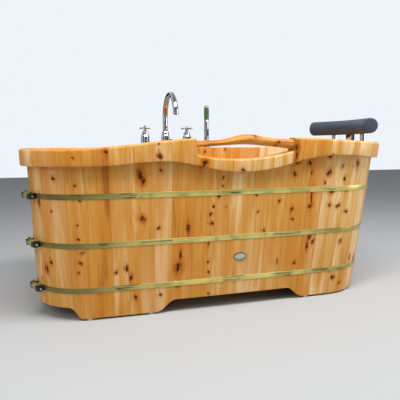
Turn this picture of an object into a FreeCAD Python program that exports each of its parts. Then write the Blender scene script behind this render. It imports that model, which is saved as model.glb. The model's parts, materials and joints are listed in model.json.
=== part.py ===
import FreeCAD, Part
import math
import os
from FreeCAD import Vector

# Freestanding wooden soaking tub: upright staves held by three hoops, with deck taps and a headrest.
# Millimetres. X runs from the foot end to the head end, the notched front faces -Y, the floor is z = 0.

# Overall sizes of the rim
overall_length = 1560.0
overall_width = 776.0
foot_rim_height = 633.0
head_rim_height = 654.0
foot_crest_height = 672.0
head_crest_height = 673.0

# Plan of the wall: how far each wall leans out per millimetre of height, corner radii, bow of sides and ends
foot_lean = 0.040
head_lean = 0.107
side_lean = 0.055
foot_corner_radius = 197.0
head_corner_radius = 234.0
side_half_turn = 1.8
end_half_turn = 1.5

# Staves
stave_thickness = 26.0
rim_overhang = 24.5
glide_height = 7.0
foot_part_staves = 5
notch_staves = 5
head_part_staves = 3
rear_head_staves = 4
rear_foot_staves = 4
corner_staves = 4
foot_end_staves = 4
head_end_staves = 3
stave_swing = 0.16
swing_step = 2.4

# Lower edge of the rim, as heights at named places along the tub
rim_low_foot = 571.0
rim_low_foot_crest = 585.5
rim_low_dip = 542.5
rim_low_head_crest = 603.0
rim_low_head = 589.0
foot_crest_x = -280.0
dip_x = 35.0
head_crest_x = 460.0
rise_start_x = -640.0
rise_end_x = -60.0
fall_start_x = 200.0
fall_end_x = 800.0
low_rise_start_x = -520.0
low_fall_end_x = 720.0
rear_rise_start_x = 400.0
ease_pull = 0.42

# Notch in the front rim
notch_left_x = -152.0
notch_right_x = 249.5
notch_low_x = 20.0
notch_height = 592.5
notch_radius = 880.0
notch_left_corner = 26.0
notch_right_corner = 12.0
notch_spill = 3.0

# Openings between the feet
arch_height = 51.0
arch_foot_inset = 480.0
arch_head_inset = 447.0
arch_slope = 80.0
end_arch_inset = 212.0
end_arch_slope = 51.0

# Floor
floor_top = 120.0
floor_thickness = 24.0
croze_depth = 8.0
floor_board_count = 7
bearer_places = (-300.0, 60.0, 420.0)
bearer_width = 60.0
bearer_height = 44.0
bearer_screw_rows = (-190.0, 0.0, 190.0)
bearer_screw_radius = 2.5
bearer_screw_head_radius = 5.0
bearer_screw_head = 3.0
bearer_screw_bite = 16.0

# Hoops and their tensioners at the front corner of the foot end
hoop_heights = {"top": 464.0, "middle": 285.0, "bottom": 116.0}
hoop_width = 20.0
hoop_thickness = 2.0
tension_gap_start = 195.0
tension_gap_end = 206.5
lug_turn = 5.0
lug_depth = 27.0
bolt_stand = 14.0
bolt_radius = 4.0
bolt_play = 0.2
sleeve_radius = 12.0
pin_radius = 5.0
pin_head_radius = 6.5
pin_head = 4.0
pin_proud = 4.0
tension_nut_radius = 10.0
tension_nut_length = 8.0
bolt_proud = 3.0

# Grab handle across the notch
handle_depth = 40.0
handle_left_tall = 25.0
handle_left_waist_tall = 23.0
handle_middle_tall = 39.0
handle_right_waist_tall = 33.5
handle_right_tall = 38.0
handle_left_height = 648.5
handle_left_waist_height = 654.0
handle_middle_height = 666.5
handle_right_waist_height = 655.5
handle_right_height = 648.0
handle_middle_x = 50.0
dowel_radius = 5.0
dowel_length = 60.0

# Badge on the front
badge_x = 40.0
badge_height = 205.0
badge_long = 55.0
badge_tall = 31.5
badge_cut_long = 16.0
badge_cut_tall = 11.0
badge_thickness = 2.0

# Glides under the stave feet
glide_radius = 11.0
glide_edge = 2.0
glide_pin_radius = 2.0
glide_pin_length = 18.0
glide_inset = 18.0
glide_foot_share = 0.97
glide_head_shares = (0.34, 0.74)

# Taps on the rear rim
hot_tap_x = -203.0
spout_x = -97.0
cold_tap_x = 19.0
shower_x = 128.0
tap_inset = 27.5
shank_radius = 10.45
shank_play = 0.55
shank_drop = 128.0
waterway_radius = 7.0
relief_radius = 17.0
washer_radius = 15.5
washer_thickness = 3.0
backnut_across = 27.0
backnut_height = 9.0
running_play = 0.05
seat_play = 0.3

valve_radius = 23.0
valve_height = 66.0
valve_collar_radius = 16.0
valve_collar_height = 82.0
valve_edge = 4.0
stem_radius = 5.0
stem_depth = 18.0
cross_hub_radius = 9.0
cross_hub_height = 22.0
cross_arm_radius = 4.0
cross_arm_seat = 5.0
cross_arm_reach = 30.0
cross_arm_height = 16.0
cross_ball_radius = 5.0
cross_turn = 42.0
cap_radius = 6.0
cap_height = 8.0

spout_base_radius = 22.0
spout_base_height = 84.0
spout_base_neck = 15.0
spigot_radius = 10.0
spigot_depth = 44.0
spout_radius = 13.0
spout_bend = 112.0
spout_top = 907.0
spout_end_turn = 8.0
spout_nose = 8.0
aerator_radius = 10.0
aerator_depth = 9.0
aerator_proud = 1.5
diverter_height = 43.0
diverter_stem_radius = 3.0
diverter_knob_radius = 7.5
diverter_knob_length = 14.0
diverter_stem_depth = 9.0
diverter_edge = 1.0

socket_radius = 17.0
socket_height = 6.0
shower_spigot_radius = 8.5
shower_spigot_depth = 40.0
shower_radius = 13.0
shower_top = 852.0
shower_dome = 5.0
spray_low = 777.0
spray_high = 841.0
spray_thickness = 3.0
spray_half_turn = 72.0

# Waste in the floor
drain_x = -470.0
drain_flange_radius = 35.0
drain_flange_thickness = 4.0
drain_neck_radius = 24.0
drain_bore_radius = 19.0
drain_neck_low = 62.0
drain_hub_radius = 9.0
drain_hub_height = 12.0
drain_hub_drop = 8.0
drain_rib_width = 4.0
gasket_radius = 37.0
gasket_thickness = 3.0
locknut_thickness = 12.0
ring_play = 0.1
tail_radius = 20.0
tail_bore_radius = 17.5
tail_low = 14.0
tail_collar_radius = 21.0
tail_flange_thickness = 4.0
coupling_radius = 29.0
coupling_height = 22.0
plug_stem_radius = 5.0
plug_stem_length = 34.0
plug_cap_radius = 28.0
plug_cap_thickness = 5.0
plug_seal_radius = 18.3
plug_seal_height = 4.5

# Headrest on the head end
cushion_radius = 36.5
cushion_height = 730.0
cushion_forward = 10.75
cushion_half_span = 245.0
cushion_sag = 42.0
cushion_edge = 5.0
rail_radius = 8.0
rail_shift = 24.0
rail_half_turn = 14.0
post_radius = 13.0
post_half_spacing = 119.0
post_spigot_radius = 8.0
post_spigot_length = 40.0
post_socket_radius = 11.0
post_socket_flange_radius = 16.0
post_socket_flange = 3.0
post_socket_proud = 1.0
bracket_width = 50.0
bracket_thickness = 16.0

far = 2.0 * overall_length
stave_reach = max(foot_crest_height, head_crest_height) + rim_overhang
rim_width = stave_thickness + rim_overhang
floor_low = floor_top - floor_thickness
end_arch_x = end_arch_inset - overall_length / 2
arch_foot_x = arch_foot_inset - overall_length / 2
arch_head_x = overall_length / 2 - arch_head_inset


def plan(z):
    """Arcs of the outer wall at height z, anticlockwise: name to centre, radius, start and end angle."""
    side, end = math.radians(side_half_turn), math.radians(end_half_turn)
    width = overall_width / 2 - rim_overhang - side_lean * (foot_rim_height - z)
    foot = -(overall_length / 2 - rim_overhang - foot_lean * (foot_rim_height - z))
    head = overall_length / 2 - rim_overhang - head_lean * (head_rim_height - z)
    radii = foot_corner_radius + head_corner_radius
    side_drop, end_drop = 1 - math.cos(side), 1 - math.cos(end)
    spread = radii + (2 * width - radii * math.cos(side)) / math.sin(end)
    straight = head - foot - radii * (math.cos(end) - math.sin(side)) - end_drop * spread
    side_radius = straight / (2 * math.sin(side) - 2 * side_drop * end_drop / math.sin(end))
    foot_y = side_radius * side_drop + foot_corner_radius * math.cos(side) - width
    head_y = side_radius * side_drop + head_corner_radius * math.cos(side) - width
    foot_radius = foot_corner_radius - foot_y / math.sin(end)
    head_radius = head_corner_radius - head_y / math.sin(end)
    foot_x = foot + foot_corner_radius * math.cos(end) + foot_radius * end_drop
    head_x = head - head_corner_radius * math.cos(end) - head_radius * end_drop
    middle_x = foot_x + (side_radius - foot_corner_radius) * math.sin(side)
    side_end, end_end = 90 - side_half_turn, end_half_turn
    return {
        "front": (Vector(middle_x, side_radius - width, z), side_radius, 180 + side_end, 360 - side_end),
        "front_head": (Vector(head_x, head_y, z), head_corner_radius, 360 - side_end, 360 - end_end),
        "head": (Vector(head - head_radius, 0, z), head_radius, -end_end, end_end),
        "rear_head": (Vector(head_x, -head_y, z), head_corner_radius, end_end, side_end),
        "rear": (Vector(middle_x, width - side_radius, z), side_radius, side_end, 180 - side_end),
        "rear_foot": (Vector(foot_x, -foot_y, z), foot_corner_radius, 180 - side_end, 180 - end_end),
        "foot": (Vector(foot + foot_radius, 0, z), foot_radius, 180 - end_end, 180 + end_end),
        "front_foot": (Vector(foot_x, foot_y, z), foot_corner_radius, 180 + end_end, 180 + side_end),
    }


def spot(arc, share, grow, z):
    """Point on one arc of the plan at height z, moved outwards by grow."""
    centre, radius, start, finish = plan(z)[arc]
    turn = math.radians(start + (finish - start) * share)
    return centre + Vector(math.cos(turn), math.sin(turn), 0) * (radius + grow)


def share_at(arc, x, z):
    """Share of the front or rear arc at the place x along the tub."""
    centre, radius, start, finish = plan(z)[arc]
    turn = math.degrees(math.acos((x - centre.x) / radius))
    return ((360 - turn if arc == "front" else turn) - start) / (finish - start)


def arc_edge(arc, first, last, grow, z):
    """Edge along one arc of the plan between two shares of it."""
    points = [spot(arc, share, grow, z) for share in (first, (first + last) / 2, last)]
    return Part.Arc(*points).toShape()


def sector(arc, shares, inner, outer, z):
    """Closed section between two shares of one arc and two offsets from the outer wall."""
    first, last = shares
    out = arc_edge(arc, first, last, outer, z)
    back = arc_edge(arc, last, first, inner, z)
    near = Part.makeLine(spot(arc, last, outer, z), spot(arc, last, inner, z))
    home = Part.makeLine(spot(arc, first, inner, z), spot(arc, first, outer, z))
    return Part.Wire([out, near, back, home])


def wedge(arc, shares, inner, outer, low, high):
    """Solid piece of the wall between two heights, leaning as the wall does."""
    return Part.makeLoft([sector(arc, shares, inner, outer, z) for z in (low, high)], True, True)


def ring_wire(grow, z):
    """Whole plan of the wall at height z, moved outwards by grow."""
    return Part.Wire([arc_edge(arc, 0, 1, grow, z) for arc in plan(z)])


def under(points, front=-far, rear=far):
    """Solid under a line that runs level through each (x, z) point and eases from one to the next."""
    base = -far
    edges = []
    for (x, z), (next_x, next_z) in zip(points, points[1:]):
        pull = Vector((next_x - x) * ease_pull, 0, 0)
        start, finish = Vector(x, front, z), Vector(next_x, front, next_z)
        curve = Part.BezierCurve()
        curve.setPoles([start, start + pull, finish - pull, finish])
        edges.append(curve.toShape())
    (first_x, first_z), (last_x, last_z) = points[0], points[-1]
    corners = [Vector(last_x, front, last_z), Vector(last_x, front, base)]
    corners += [Vector(first_x, front, base), Vector(first_x, front, first_z)]
    edges += [Part.makeLine(a, b) for a, b in zip(corners, corners[1:])]
    return Part.Face(Part.Wire(edges)).extrude(Vector(0, rear - front, 0))


def turned(profile, place):
    """Solid of revolution about an upright axis, from (radius, height) points measured from its place."""
    points = [Vector(radius, 0, height) for radius, height in profile]
    face = Part.Face(Part.makePolygon(points + points[:1]))
    return face.revolve(Vector(), Vector(0, 0, 1), 360).translated(place)


def rod(radius, start, finish):
    """Round bar between two points."""
    return Part.makeCylinder(radius, (finish - start).Length, start, finish - start)


def tube(outer, inner, low, high, place):
    """Upright ring or pipe between two heights measured from its place."""
    return turned([(inner, low), (outer, low), (outer, high), (inner, high)], place)


def trim(shape, tools):
    """Shape with every tool that reaches it cut away."""
    for tool in tools:
        if shape.BoundBox.intersect(tool.BoundBox):
            shape = shape.cut(tool)
    return shape


def save(name, solids):
    """Write one node, as a single solid or a group of separate solids."""
    solids = [piece for shape in solids for piece in shape.Solids]
    shape = solids[0] if len(solids) == 1 else Part.makeCompound(solids)
    shape.exportStep("parts/" + name + ".step")


def rim_middle(arc, share, z):
    """Point half-way across the top of the rim."""
    return spot(arc, share, rim_overhang - rim_width / 2, z)


def deck(x):
    """Point on the rear rim's top where a tap stands."""
    wall = overall_width / 2 - tap_inset
    return Vector(x, wall, foot_rim_height)


# Waves of the rim

front_top = under([(-far, foot_rim_height), (rise_start_x, foot_rim_height), (rise_end_x, foot_crest_height),
                   (fall_start_x, head_crest_height), (fall_end_x, head_rim_height), (far, head_rim_height)])
rear_top = under([(-far, foot_rim_height), (rear_rise_start_x, foot_rim_height),
                  (fall_end_x, head_rim_height), (far, head_rim_height)])
front_edge = under([(-far, rim_low_foot), (low_rise_start_x, rim_low_foot),
                    (foot_crest_x, rim_low_foot_crest), (dip_x, rim_low_dip),
                    (head_crest_x, rim_low_head_crest), (low_fall_end_x, rim_low_head), (far, rim_low_head)])
rear_edge = under([(-far, rim_low_foot), (rear_rise_start_x, rim_low_foot), (low_fall_end_x, rim_low_head),
                   (far, rim_low_head)])


def notch_void():
    """Space of the notch: a long arc below, with a rounded corner at each end."""
    centre = Vector(notch_low_x, -far, notch_height + notch_radius)
    ceiling = stave_reach + notch_radius
    ends = ((notch_left_x - notch_spill, notch_left_corner, 1),
            (notch_right_x + notch_spill, notch_right_corner, -1))
    corners = []
    for x, radius, inward in ends:
        middle_x = x + inward * radius
        drop = math.sqrt((notch_radius - radius) ** 2 - (middle_x - centre.x) ** 2)
        middle = Vector(middle_x, -far, centre.z - drop)
        outward = (middle - centre).normalize()
        side = Vector(-inward, 0, 0)
        between = (outward + side).normalize()
        corners.append([Vector(x, -far, middle.z), middle + between * radius, middle + outward * radius])
    left, right = corners
    bottom = Vector(centre.x, -far, notch_height)
    edges = [Part.makeLine(Vector(left[0].x, -far, ceiling), left[0]), Part.Arc(*left).toShape(),
             Part.Arc(left[2], bottom, right[2]).toShape(), Part.Arc(*right[::-1]).toShape(),
             Part.makeLine(right[0], Vector(right[0].x, -far, ceiling)),
             Part.makeLine(Vector(right[0].x, -far, ceiling), Vector(left[0].x, -far, ceiling))]
    return Part.Face(Part.Wire(edges)).extrude(Vector(0, far, 0))


notch = notch_void()
arch = under([(arch_foot_x, glide_height), (arch_foot_x + arch_slope, arch_height),
              (arch_head_x - arch_slope, arch_height), (arch_head_x, glide_height)])
end_arch = under([(-far, arch_height), (end_arch_x - end_arch_slope, arch_height),
                  (end_arch_x, glide_height)])

# Floor boards in their groove, and the bearers below

floor_outline = ring_wire(croze_depth - stave_thickness, (floor_top + floor_low) / 2)
floor_slab = Part.Face(floor_outline).extrude(Vector(0, 0, floor_thickness))
floor_slab.translate(Vector(0, 0, floor_low - (floor_top + floor_low) / 2))
inside = Part.makeLoft([ring_wire(-stave_thickness, z) for z in (glide_height, stave_reach)], True, True)


def screw(x, y):
    """Countersunk screw from under a bearer up into the floor."""
    tip = bearer_height + bearer_screw_bite
    profile = [(0, 0), (bearer_screw_head_radius, 0), (bearer_screw_radius, bearer_screw_head),
               (bearer_screw_radius, tip), (0, tip)]
    return turned(profile, Vector(x, y, floor_low - bearer_height))


drain_place = Vector(drain_x, 0, floor_top)
drain_hole = Part.makeCylinder(drain_neck_radius + ring_play, far, Vector(drain_x, 0, 0))
floor_screws = [screw(x, y) for x in bearer_places for y in bearer_screw_rows]
board_span = floor_slab.BoundBox.YLength
board_width = board_span / floor_board_count
floor_boards = []
for index in range(floor_board_count):
    strip = Part.makeBox(far, board_width, far, Vector(-far / 2, index * board_width - board_span / 2, 0))
    floor_boards.append(trim(floor_slab.common(strip), [drain_hole] + floor_screws))
bearers = []
for x in bearer_places:
    beam = Part.makeBox(bearer_width, far, bearer_height)
    beam.translate(Vector(x - bearer_width / 2, -far / 2, floor_low - bearer_height))
    bearers.append(trim(beam.common(inside), floor_screws))

# Glides, dowels, shanks and sockets that are let into the staves


def glide(arc, share):
    """Round glide under a stave, with the pin that holds it."""
    place = spot(arc, share, -stave_thickness / 2, glide_height)
    place.z = 0
    top = glide_height + glide_pin_length
    profile = [(0, 0), (glide_radius - glide_edge, 0), (glide_radius, glide_edge),
               (glide_radius, glide_height), (glide_pin_radius, glide_height), (glide_pin_radius, top),
               (0, top)]
    return turned(profile, place)


glides = [glide("head", 0.5), glide("front_foot", glide_foot_share), glide("rear_foot", 1 - glide_foot_share)]
for x in (arch_foot_x - glide_inset, arch_head_x + glide_inset):
    glides += [glide(side, share_at(side, x, glide_height)) for side in ("front", "rear")]
for share in glide_head_shares:
    glides += [glide("front_head", share), glide("rear_head", 1 - share)]

handle_y = rim_middle("front", 0.5, handle_middle_height).y
dowels = []
for x, z in ((notch_left_x, handle_left_height), (notch_right_x, handle_right_height)):
    reach = Vector(dowel_length / 2, 0, 0)
    dowels.append(rod(dowel_radius, Vector(x, handle_y, z) - reach, Vector(x, handle_y, z) + reach))

tap_places = [deck(x) for x in (hot_tap_x, spout_x, cold_tap_x, shower_x)]
tap_cuts = []
for place in tap_places:
    bore = shank_radius + shank_play
    low, shelf = -shank_drop - backnut_height, rim_low_foot - foot_rim_height
    tap_cuts.append(turned([(0, low), (relief_radius, low), (relief_radius, shelf), (bore, shelf),
                            (bore, rim_width), (0, rim_width)], place))

post_x = rim_middle("head", 0.5, head_rim_height).x
socket_top = head_rim_height + post_socket_proud
post_places = [Vector(post_x, side * post_half_spacing, socket_top) for side in (-1, 1)]


def post_socket(place):
    """Flanged bush let into the rim for one post of the headrest."""
    deep = -post_socket_flange - post_spigot_length
    bore = post_spigot_radius + running_play
    profile = [(bore, 0), (post_socket_flange_radius, 0), (post_socket_flange_radius, -post_socket_flange),
               (post_socket_radius, -post_socket_flange), (post_socket_radius, deep), (bore, deep)]
    return turned(profile, place)


post_sockets = [post_socket(place) for place in post_places]
socket_cuts = []
for place in post_places:
    deep = place - Vector(0, 0, post_socket_flange + post_spigot_length)
    shelf = place - Vector(0, 0, post_socket_flange)
    socket_cuts.append(rod(post_socket_radius, deep, shelf))
    socket_cuts.append(rod(post_socket_flange_radius, shelf, shelf + Vector(0, 0, far)))

# Staves


def joints(first, last, count):
    """Shares of the joints between staves, a little uneven, as sawn boards are."""
    inner = [index + stave_swing * math.sin(swing_step * index) for index in range(1, count)]
    return [first] + [first + (last - first) * place / count for place in inner] + [last]


def staves(arc, shares, top, edge, cuts):
    """Staves between neighbouring shares: a wall with a thick head, cut to the rim's waves and the feet."""
    made = []
    for pair in zip(shares, shares[1:]):
        wall = wedge(arc, pair, -stave_thickness, 0, glide_height, stave_reach)
        head = wedge(arc, pair, 0, rim_overhang, glide_height, stave_reach).cut(edge)
        whole = wall.fuse(head).common(top).removeSplitter()
        made.append(trim(whole, [floor_slab, arch, end_arch] + cuts + glides))
    return made


notch_left = share_at("front", notch_left_x, foot_crest_height)
notch_right = share_at("front", notch_right_x, head_crest_height)
front = staves("front", joints(0, notch_left, foot_part_staves), front_top, front_edge, dowels)
front += staves("front", joints(notch_left, notch_right, notch_staves), front_top, front_edge, [notch])
front += staves("front", joints(notch_right, 1, head_part_staves), front_top, front_edge, dowels)
tap_line = sorted(place.x for place in tap_places)
tap_joints = [(a + b) / 2 for a, b in zip(tap_line, tap_line[1:])]
tap_joints = [2 * tap_line[0] - tap_joints[0]] + tap_joints + [2 * tap_line[-1] - tap_joints[-1]]
tap_shares = [share_at("rear", x, foot_rim_height) for x in reversed(tap_joints)]
rear = staves("rear", joints(0, tap_shares[0], rear_head_staves), rear_top, rear_edge, [])
rear += staves("rear", tap_shares, rear_top, rear_edge, tap_cuts)
rear += staves("rear", joints(tap_shares[-1], 1, rear_foot_staves), rear_top, rear_edge, [])
groups = {
    "front_staves": front,
    "rear_staves": rear,
    "foot_end_staves": staves("foot", joints(0, 1, foot_end_staves), rear_top, rear_edge, []),
    "head_end_staves": staves("head", joints(0, 1, head_end_staves), rear_top, rear_edge, socket_cuts),
    "front_foot_corner_staves": staves("front_foot", joints(0, 1, corner_staves), front_top, front_edge, []),
    "front_head_corner_staves": staves("front_head", joints(0, 1, corner_staves), front_top, front_edge,
                                       socket_cuts),
    "rear_foot_corner_staves": staves("rear_foot", joints(0, 1, corner_staves), rear_top, rear_edge, []),
    "rear_head_corner_staves": staves("rear_head", joints(0, 1, corner_staves), rear_top, rear_edge,
                                      socket_cuts),
}

# Hoops: open bands closed by a tensioner


def corner_share(turn):
    """Share of the foot end's front corner at an angle in degrees."""
    centre, radius, start, finish = plan(0)["front_foot"]
    return (turn - start) / (finish - start)


def hoop(z):
    """Flat band round the wall, open at the tensioner."""
    runs = [("front_foot", corner_share(tension_gap_end), 1)]
    runs += [(arc, 0, 1) for arc in plan(z) if arc != "front_foot"]
    runs.append(("front_foot", 0, corner_share(tension_gap_start)))
    sections = []
    for level in (z - hoop_width / 2, z + hoop_width / 2):
        out = [arc_edge(arc, first, last, hoop_thickness, level) for arc, first, last in runs]
        back = [arc_edge(arc, last, first, 0, level) for arc, first, last in runs[::-1]]
        finish = Part.makeLine(out[-1].lastVertex(True).Point, back[0].firstVertex(True).Point)
        start = Part.makeLine(back[-1].lastVertex(True).Point, out[0].firstVertex(True).Point)
        sections.append(Part.Wire(out + [finish] + back + [start]))
    return Part.makeLoft(sections, True, True)


def tensioner(z):
    """Lugs, pins, bolt, sleeve and nut that close one hoop."""
    low, high = z - hoop_width / 2, z + hoop_width / 2
    middle = (tension_gap_start + tension_gap_end) / 2
    axis_point = spot("front_foot", corner_share(middle), hoop_thickness + bolt_stand, z)
    turn = math.radians(middle)
    along = Vector(-math.sin(turn), math.cos(turn), 0)
    outward = Vector(math.cos(turn), math.sin(turn), 0)
    corner = plan(z)["front_foot"][0]
    stand = (axis_point - corner).dot(outward)

    def on_axis(angle):
        """Point of the bolt's axis where a ray from the corner's centre at an angle meets it."""
        return axis_point + along * (stand * math.tan(math.radians(angle - middle)))

    lugs, pins, stops = [], [], []
    for first in (tension_gap_start - lug_turn, tension_gap_end):
        shares = (corner_share(first), corner_share(first + lug_turn))
        lug = wedge("front_foot", shares, hoop_thickness, hoop_thickness + lug_depth, low, high)
        stops.append(wedge("front_foot", shares, hoop_thickness, 2 * lug_depth,
                           low - sleeve_radius, high + sleeve_radius))
        place = on_axis(first + lug_turn / 2)
        head = high + pin_proud - z
        foot = low - pin_proud - z
        pin = turned([(0, foot), (pin_radius, foot), (pin_radius, head), (pin_head_radius, head),
                      (pin_head_radius, head + pin_head), (0, head + pin_head)], place)
        lugs.append(lug)
        pins.append(pin)
    back_end = on_axis(tension_gap_start - lug_turn) - along * bolt_proud
    nut_start = on_axis(tension_gap_end + lug_turn / 2)
    nut_end = on_axis(tension_gap_end + lug_turn) + along * tension_nut_length
    bolt = rod(bolt_radius, back_end, nut_end + along * bolt_proud)
    bolt_way = rod(bolt_radius + bolt_play, back_end - along * bolt_proud, nut_end + along * far)
    nut = trim(rod(tension_nut_radius, nut_start, nut_end), [stops[1], bolt_way])
    inner = [on_axis(tension_gap_start - lug_turn / 2), on_axis(tension_gap_end + lug_turn / 2)]
    sleeve = trim(rod(sleeve_radius, *inner), stops + [bolt_way])
    lugs = [trim(lug, pins + [bolt_way]) for lug in lugs]
    pins = [trim(pin, [bolt_way]) for pin in pins]
    return {"lugs": lugs, "pins": pins, "bolt": [bolt], "sleeve": [largest(sleeve)], "nut": [largest(nut)]}


def largest(shape):
    """Largest solid of a cut shape."""
    return max(shape.Solids, key=lambda solid: solid.Volume)


tension_parts = [tensioner(z) for z in hoop_heights.values()]


def gathered(kind):
    """One kind of tensioner piece from all hoops."""
    return [solid for parts in tension_parts for solid in parts[kind]]


# Grab handle and badge


def handle_section(x, height, tall):
    """Oval section of the grab handle, square to its length."""
    centre = Vector(x, handle_y, height)
    oval = Part.Ellipse(centre + Vector(0, handle_depth / 2, 0), centre + Vector(0, 0, tall / 2), centre)
    return Part.Wire(oval.toShape())


def grab_handle():
    """Bowed bar between the tall staves at the ends of the notch, slim at its waists."""
    left_x, right_x = notch_left_x - notch_spill, notch_right_x + notch_spill
    sections = [handle_section(*place) for place in (
        (left_x, handle_left_height, handle_left_tall),
        ((left_x + handle_middle_x) / 2, handle_left_waist_height, handle_left_waist_tall),
        (handle_middle_x, handle_middle_height, handle_middle_tall),
        ((right_x + handle_middle_x) / 2, handle_right_waist_height, handle_right_waist_tall),
        (right_x, handle_right_height, handle_right_tall))]
    return largest(trim(Part.makeLoft(sections, True, False), front + dowels))


def badge():
    """Blank eight-sided plate lying on the leaning front wall."""
    half, rise = badge_long / 2, badge_tall / 2
    short, level = half - badge_cut_long, rise - badge_cut_tall
    corners = [(half, -level), (half, level), (short, rise), (-short, rise), (-half, level), (-half, -level),
               (-short, -rise), (short, -rise), (half, -level)]
    outline = Part.makePolygon([Vector(x, y, 0) for x, y in corners])
    plate = Part.Face(outline).extrude(Vector(0, 0, badge_thickness))
    plate.rotate(Vector(), Vector(1, 0, 0), 90 + math.degrees(math.atan(side_lean)))
    share = share_at("front", badge_x, badge_height)
    return trim(plate.translated(spot("front", share, 0, badge_height)), front)


# Taps


def valve(place):
    """Valve body with its shank through the rim and a bore for the handle's stem."""
    bore = stem_radius + running_play
    seat = valve_collar_height - stem_depth - seat_play
    profile = [(waterway_radius, -shank_drop), (shank_radius, -shank_drop), (shank_radius, 0),
               (valve_radius, 0), (valve_radius, valve_height - valve_edge),
               (valve_radius - valve_edge, valve_height),
               (valve_collar_radius, valve_height), (valve_collar_radius, valve_collar_height),
               (bore, valve_collar_height), (bore, seat), (0, seat), (0, seat - waterway_radius),
               (waterway_radius, seat - 2 * waterway_radius)]
    return turned(profile, place)


def cross_arm(middle, turn):
    """Turned arm with a ball end, pointing away from the middle of the hub."""
    neck = cross_arm_reach - math.sqrt(cross_ball_radius ** 2 - cross_arm_radius ** 2)
    seat, shoulder = Vector(cross_arm_seat, 0, 0), Vector(cross_arm_seat, cross_arm_radius, 0)
    root, tip = Vector(neck, cross_arm_radius, 0), Vector(cross_arm_reach + cross_ball_radius, 0, 0)
    ball = Part.Arc(root, Vector(cross_arm_reach, cross_ball_radius, 0), tip).toShape()
    edges = [Part.makeLine(seat, shoulder), Part.makeLine(shoulder, root), ball, Part.makeLine(tip, seat)]
    arm = Part.Face(Part.Wire(edges)).revolve(Vector(), Vector(1, 0, 0), 360)
    arm.rotate(Vector(), Vector(0, 0, 1), turn)
    return arm.translated(middle)


def cross_handle(place):
    """Hub on a stem that turns in the valve, with four arms pressed into it."""
    base = place + Vector(0, 0, valve_collar_height + seat_play)
    hub = turned([(0, -stem_depth), (stem_radius, -stem_depth), (stem_radius, 0), (cross_hub_radius, 0),
                  (cross_hub_radius, cross_hub_height), (0, cross_hub_height)], base)
    middle = base + Vector(0, 0, cross_arm_height)
    arms = [cross_arm(middle, cross_turn + 90 * quarter) for quarter in range(4)]
    return [trim(hub, arms)] + arms


def handle_cap(place):
    """Domed cap on top of a cross handle."""
    base = place + Vector(0, 0, valve_collar_height + seat_play + cross_hub_height)
    return turned([(0, 0), (cap_radius, 0), (cap_radius, cap_height / 2), (cap_radius / 2, cap_height),
                   (0, cap_height)], base)


def washer(place):
    """Flat washer under the rim on a shank."""
    level = rim_low_foot - place.z
    return tube(washer_radius, shank_radius + running_play, level - washer_thickness, level, place)


def backnut(place):
    """Hexagon nut that pulls a shank down on the rim."""
    top = rim_low_foot - washer_thickness
    corner = backnut_across / math.sqrt(3)
    turns = [math.radians(60 * side + 30) for side in range(7)]
    outline = [Vector(place.x + corner * math.cos(t), place.y + corner * math.sin(t), top) for t in turns]
    nut = Part.Face(Part.makePolygon(outline)).extrude(Vector(0, 0, -backnut_height))
    return nut.cut(Part.makeCylinder(shank_radius + running_play, far, Vector(place.x, place.y, 0)))


def spout_base(place):
    """Collar of the spout, with a bore for its spigot and a side bore for the diverter."""
    bore = spigot_radius + running_play
    seat = spout_base_height - spigot_depth - seat_play
    profile = [(waterway_radius, -shank_drop), (shank_radius, -shank_drop), (shank_radius, 0),
               (spout_base_radius, 0), (spout_base_radius, spout_base_height - valve_edge),
               (spout_base_neck, spout_base_height),
               (bore, spout_base_height), (bore, seat), (waterway_radius, seat)]
    side = place + Vector(spout_base_radius, 0, diverter_height)
    way = rod(diverter_stem_radius + running_play, side - Vector(diverter_stem_depth + seat_play, 0, 0),
              side + Vector(spout_base_radius, 0, 0))
    return turned(profile, place).cut(way)


def spout(place):
    """Swan neck that swivels on its spigot and pours towards the middle of the tub."""
    shoulder = place + Vector(0, 0, spout_base_height + seat_play)
    spigot = rod(spigot_radius, shoulder - Vector(0, 0, spigot_depth), shoulder)
    centre = Vector(place.x, place.y - spout_bend, spout_top - spout_radius - spout_bend)
    start = Vector(place.x, place.y, centre.z)

    def on_bend(degrees):
        """Point on the bend, counted from its outlet side."""
        turn = math.radians(degrees)
        return centre + Vector(0, -math.cos(turn), math.sin(turn)) * spout_bend

    tip = on_bend(spout_end_turn)
    turn = math.radians(spout_end_turn)
    down = Vector(0, -math.sin(turn), -math.cos(turn))
    end = tip + down * spout_nose
    bend = Part.Arc(start, on_bend(90 + spout_end_turn / 2), tip).toShape()
    path = Part.Wire([Part.makeLine(shoulder, start), bend, Part.makeLine(tip, end)])
    ring = Part.Wire(Part.makeCircle(spout_radius, shoulder, Vector(0, 0, 1)))
    neck = path.makePipeShell([ring], True, False)
    outlet = rod(aerator_radius, end - down * aerator_depth, end + down * aerator_proud)
    return neck.fuse(spigot).cut(outlet), outlet


def diverter(place):
    """Small turning knob at the side of the spout's collar."""
    deep = spout_base_radius - diverter_stem_depth
    near = spout_base_radius + seat_play
    tip = near + diverter_knob_length
    profile = [(0, deep), (diverter_stem_radius, deep), (diverter_stem_radius, near),
               (diverter_knob_radius - diverter_edge, near), (diverter_knob_radius, near + diverter_edge),
               (diverter_knob_radius, tip - diverter_edge), (diverter_knob_radius - diverter_edge, tip),
               (0, tip)]
    knob = turned(profile, Vector())
    knob.rotate(Vector(), Vector(0, 1, 0), 90)
    return knob.translated(place + Vector(0, 0, diverter_height))


def shower_socket(place):
    """Deck bush that the hand shower stands in."""
    bore = shower_spigot_radius + running_play
    profile = [(bore, -shank_drop), (shank_radius, -shank_drop), (shank_radius, 0), (socket_radius, 0),
               (socket_radius, socket_height), (bore, socket_height)]
    return turned(profile, place)


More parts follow.
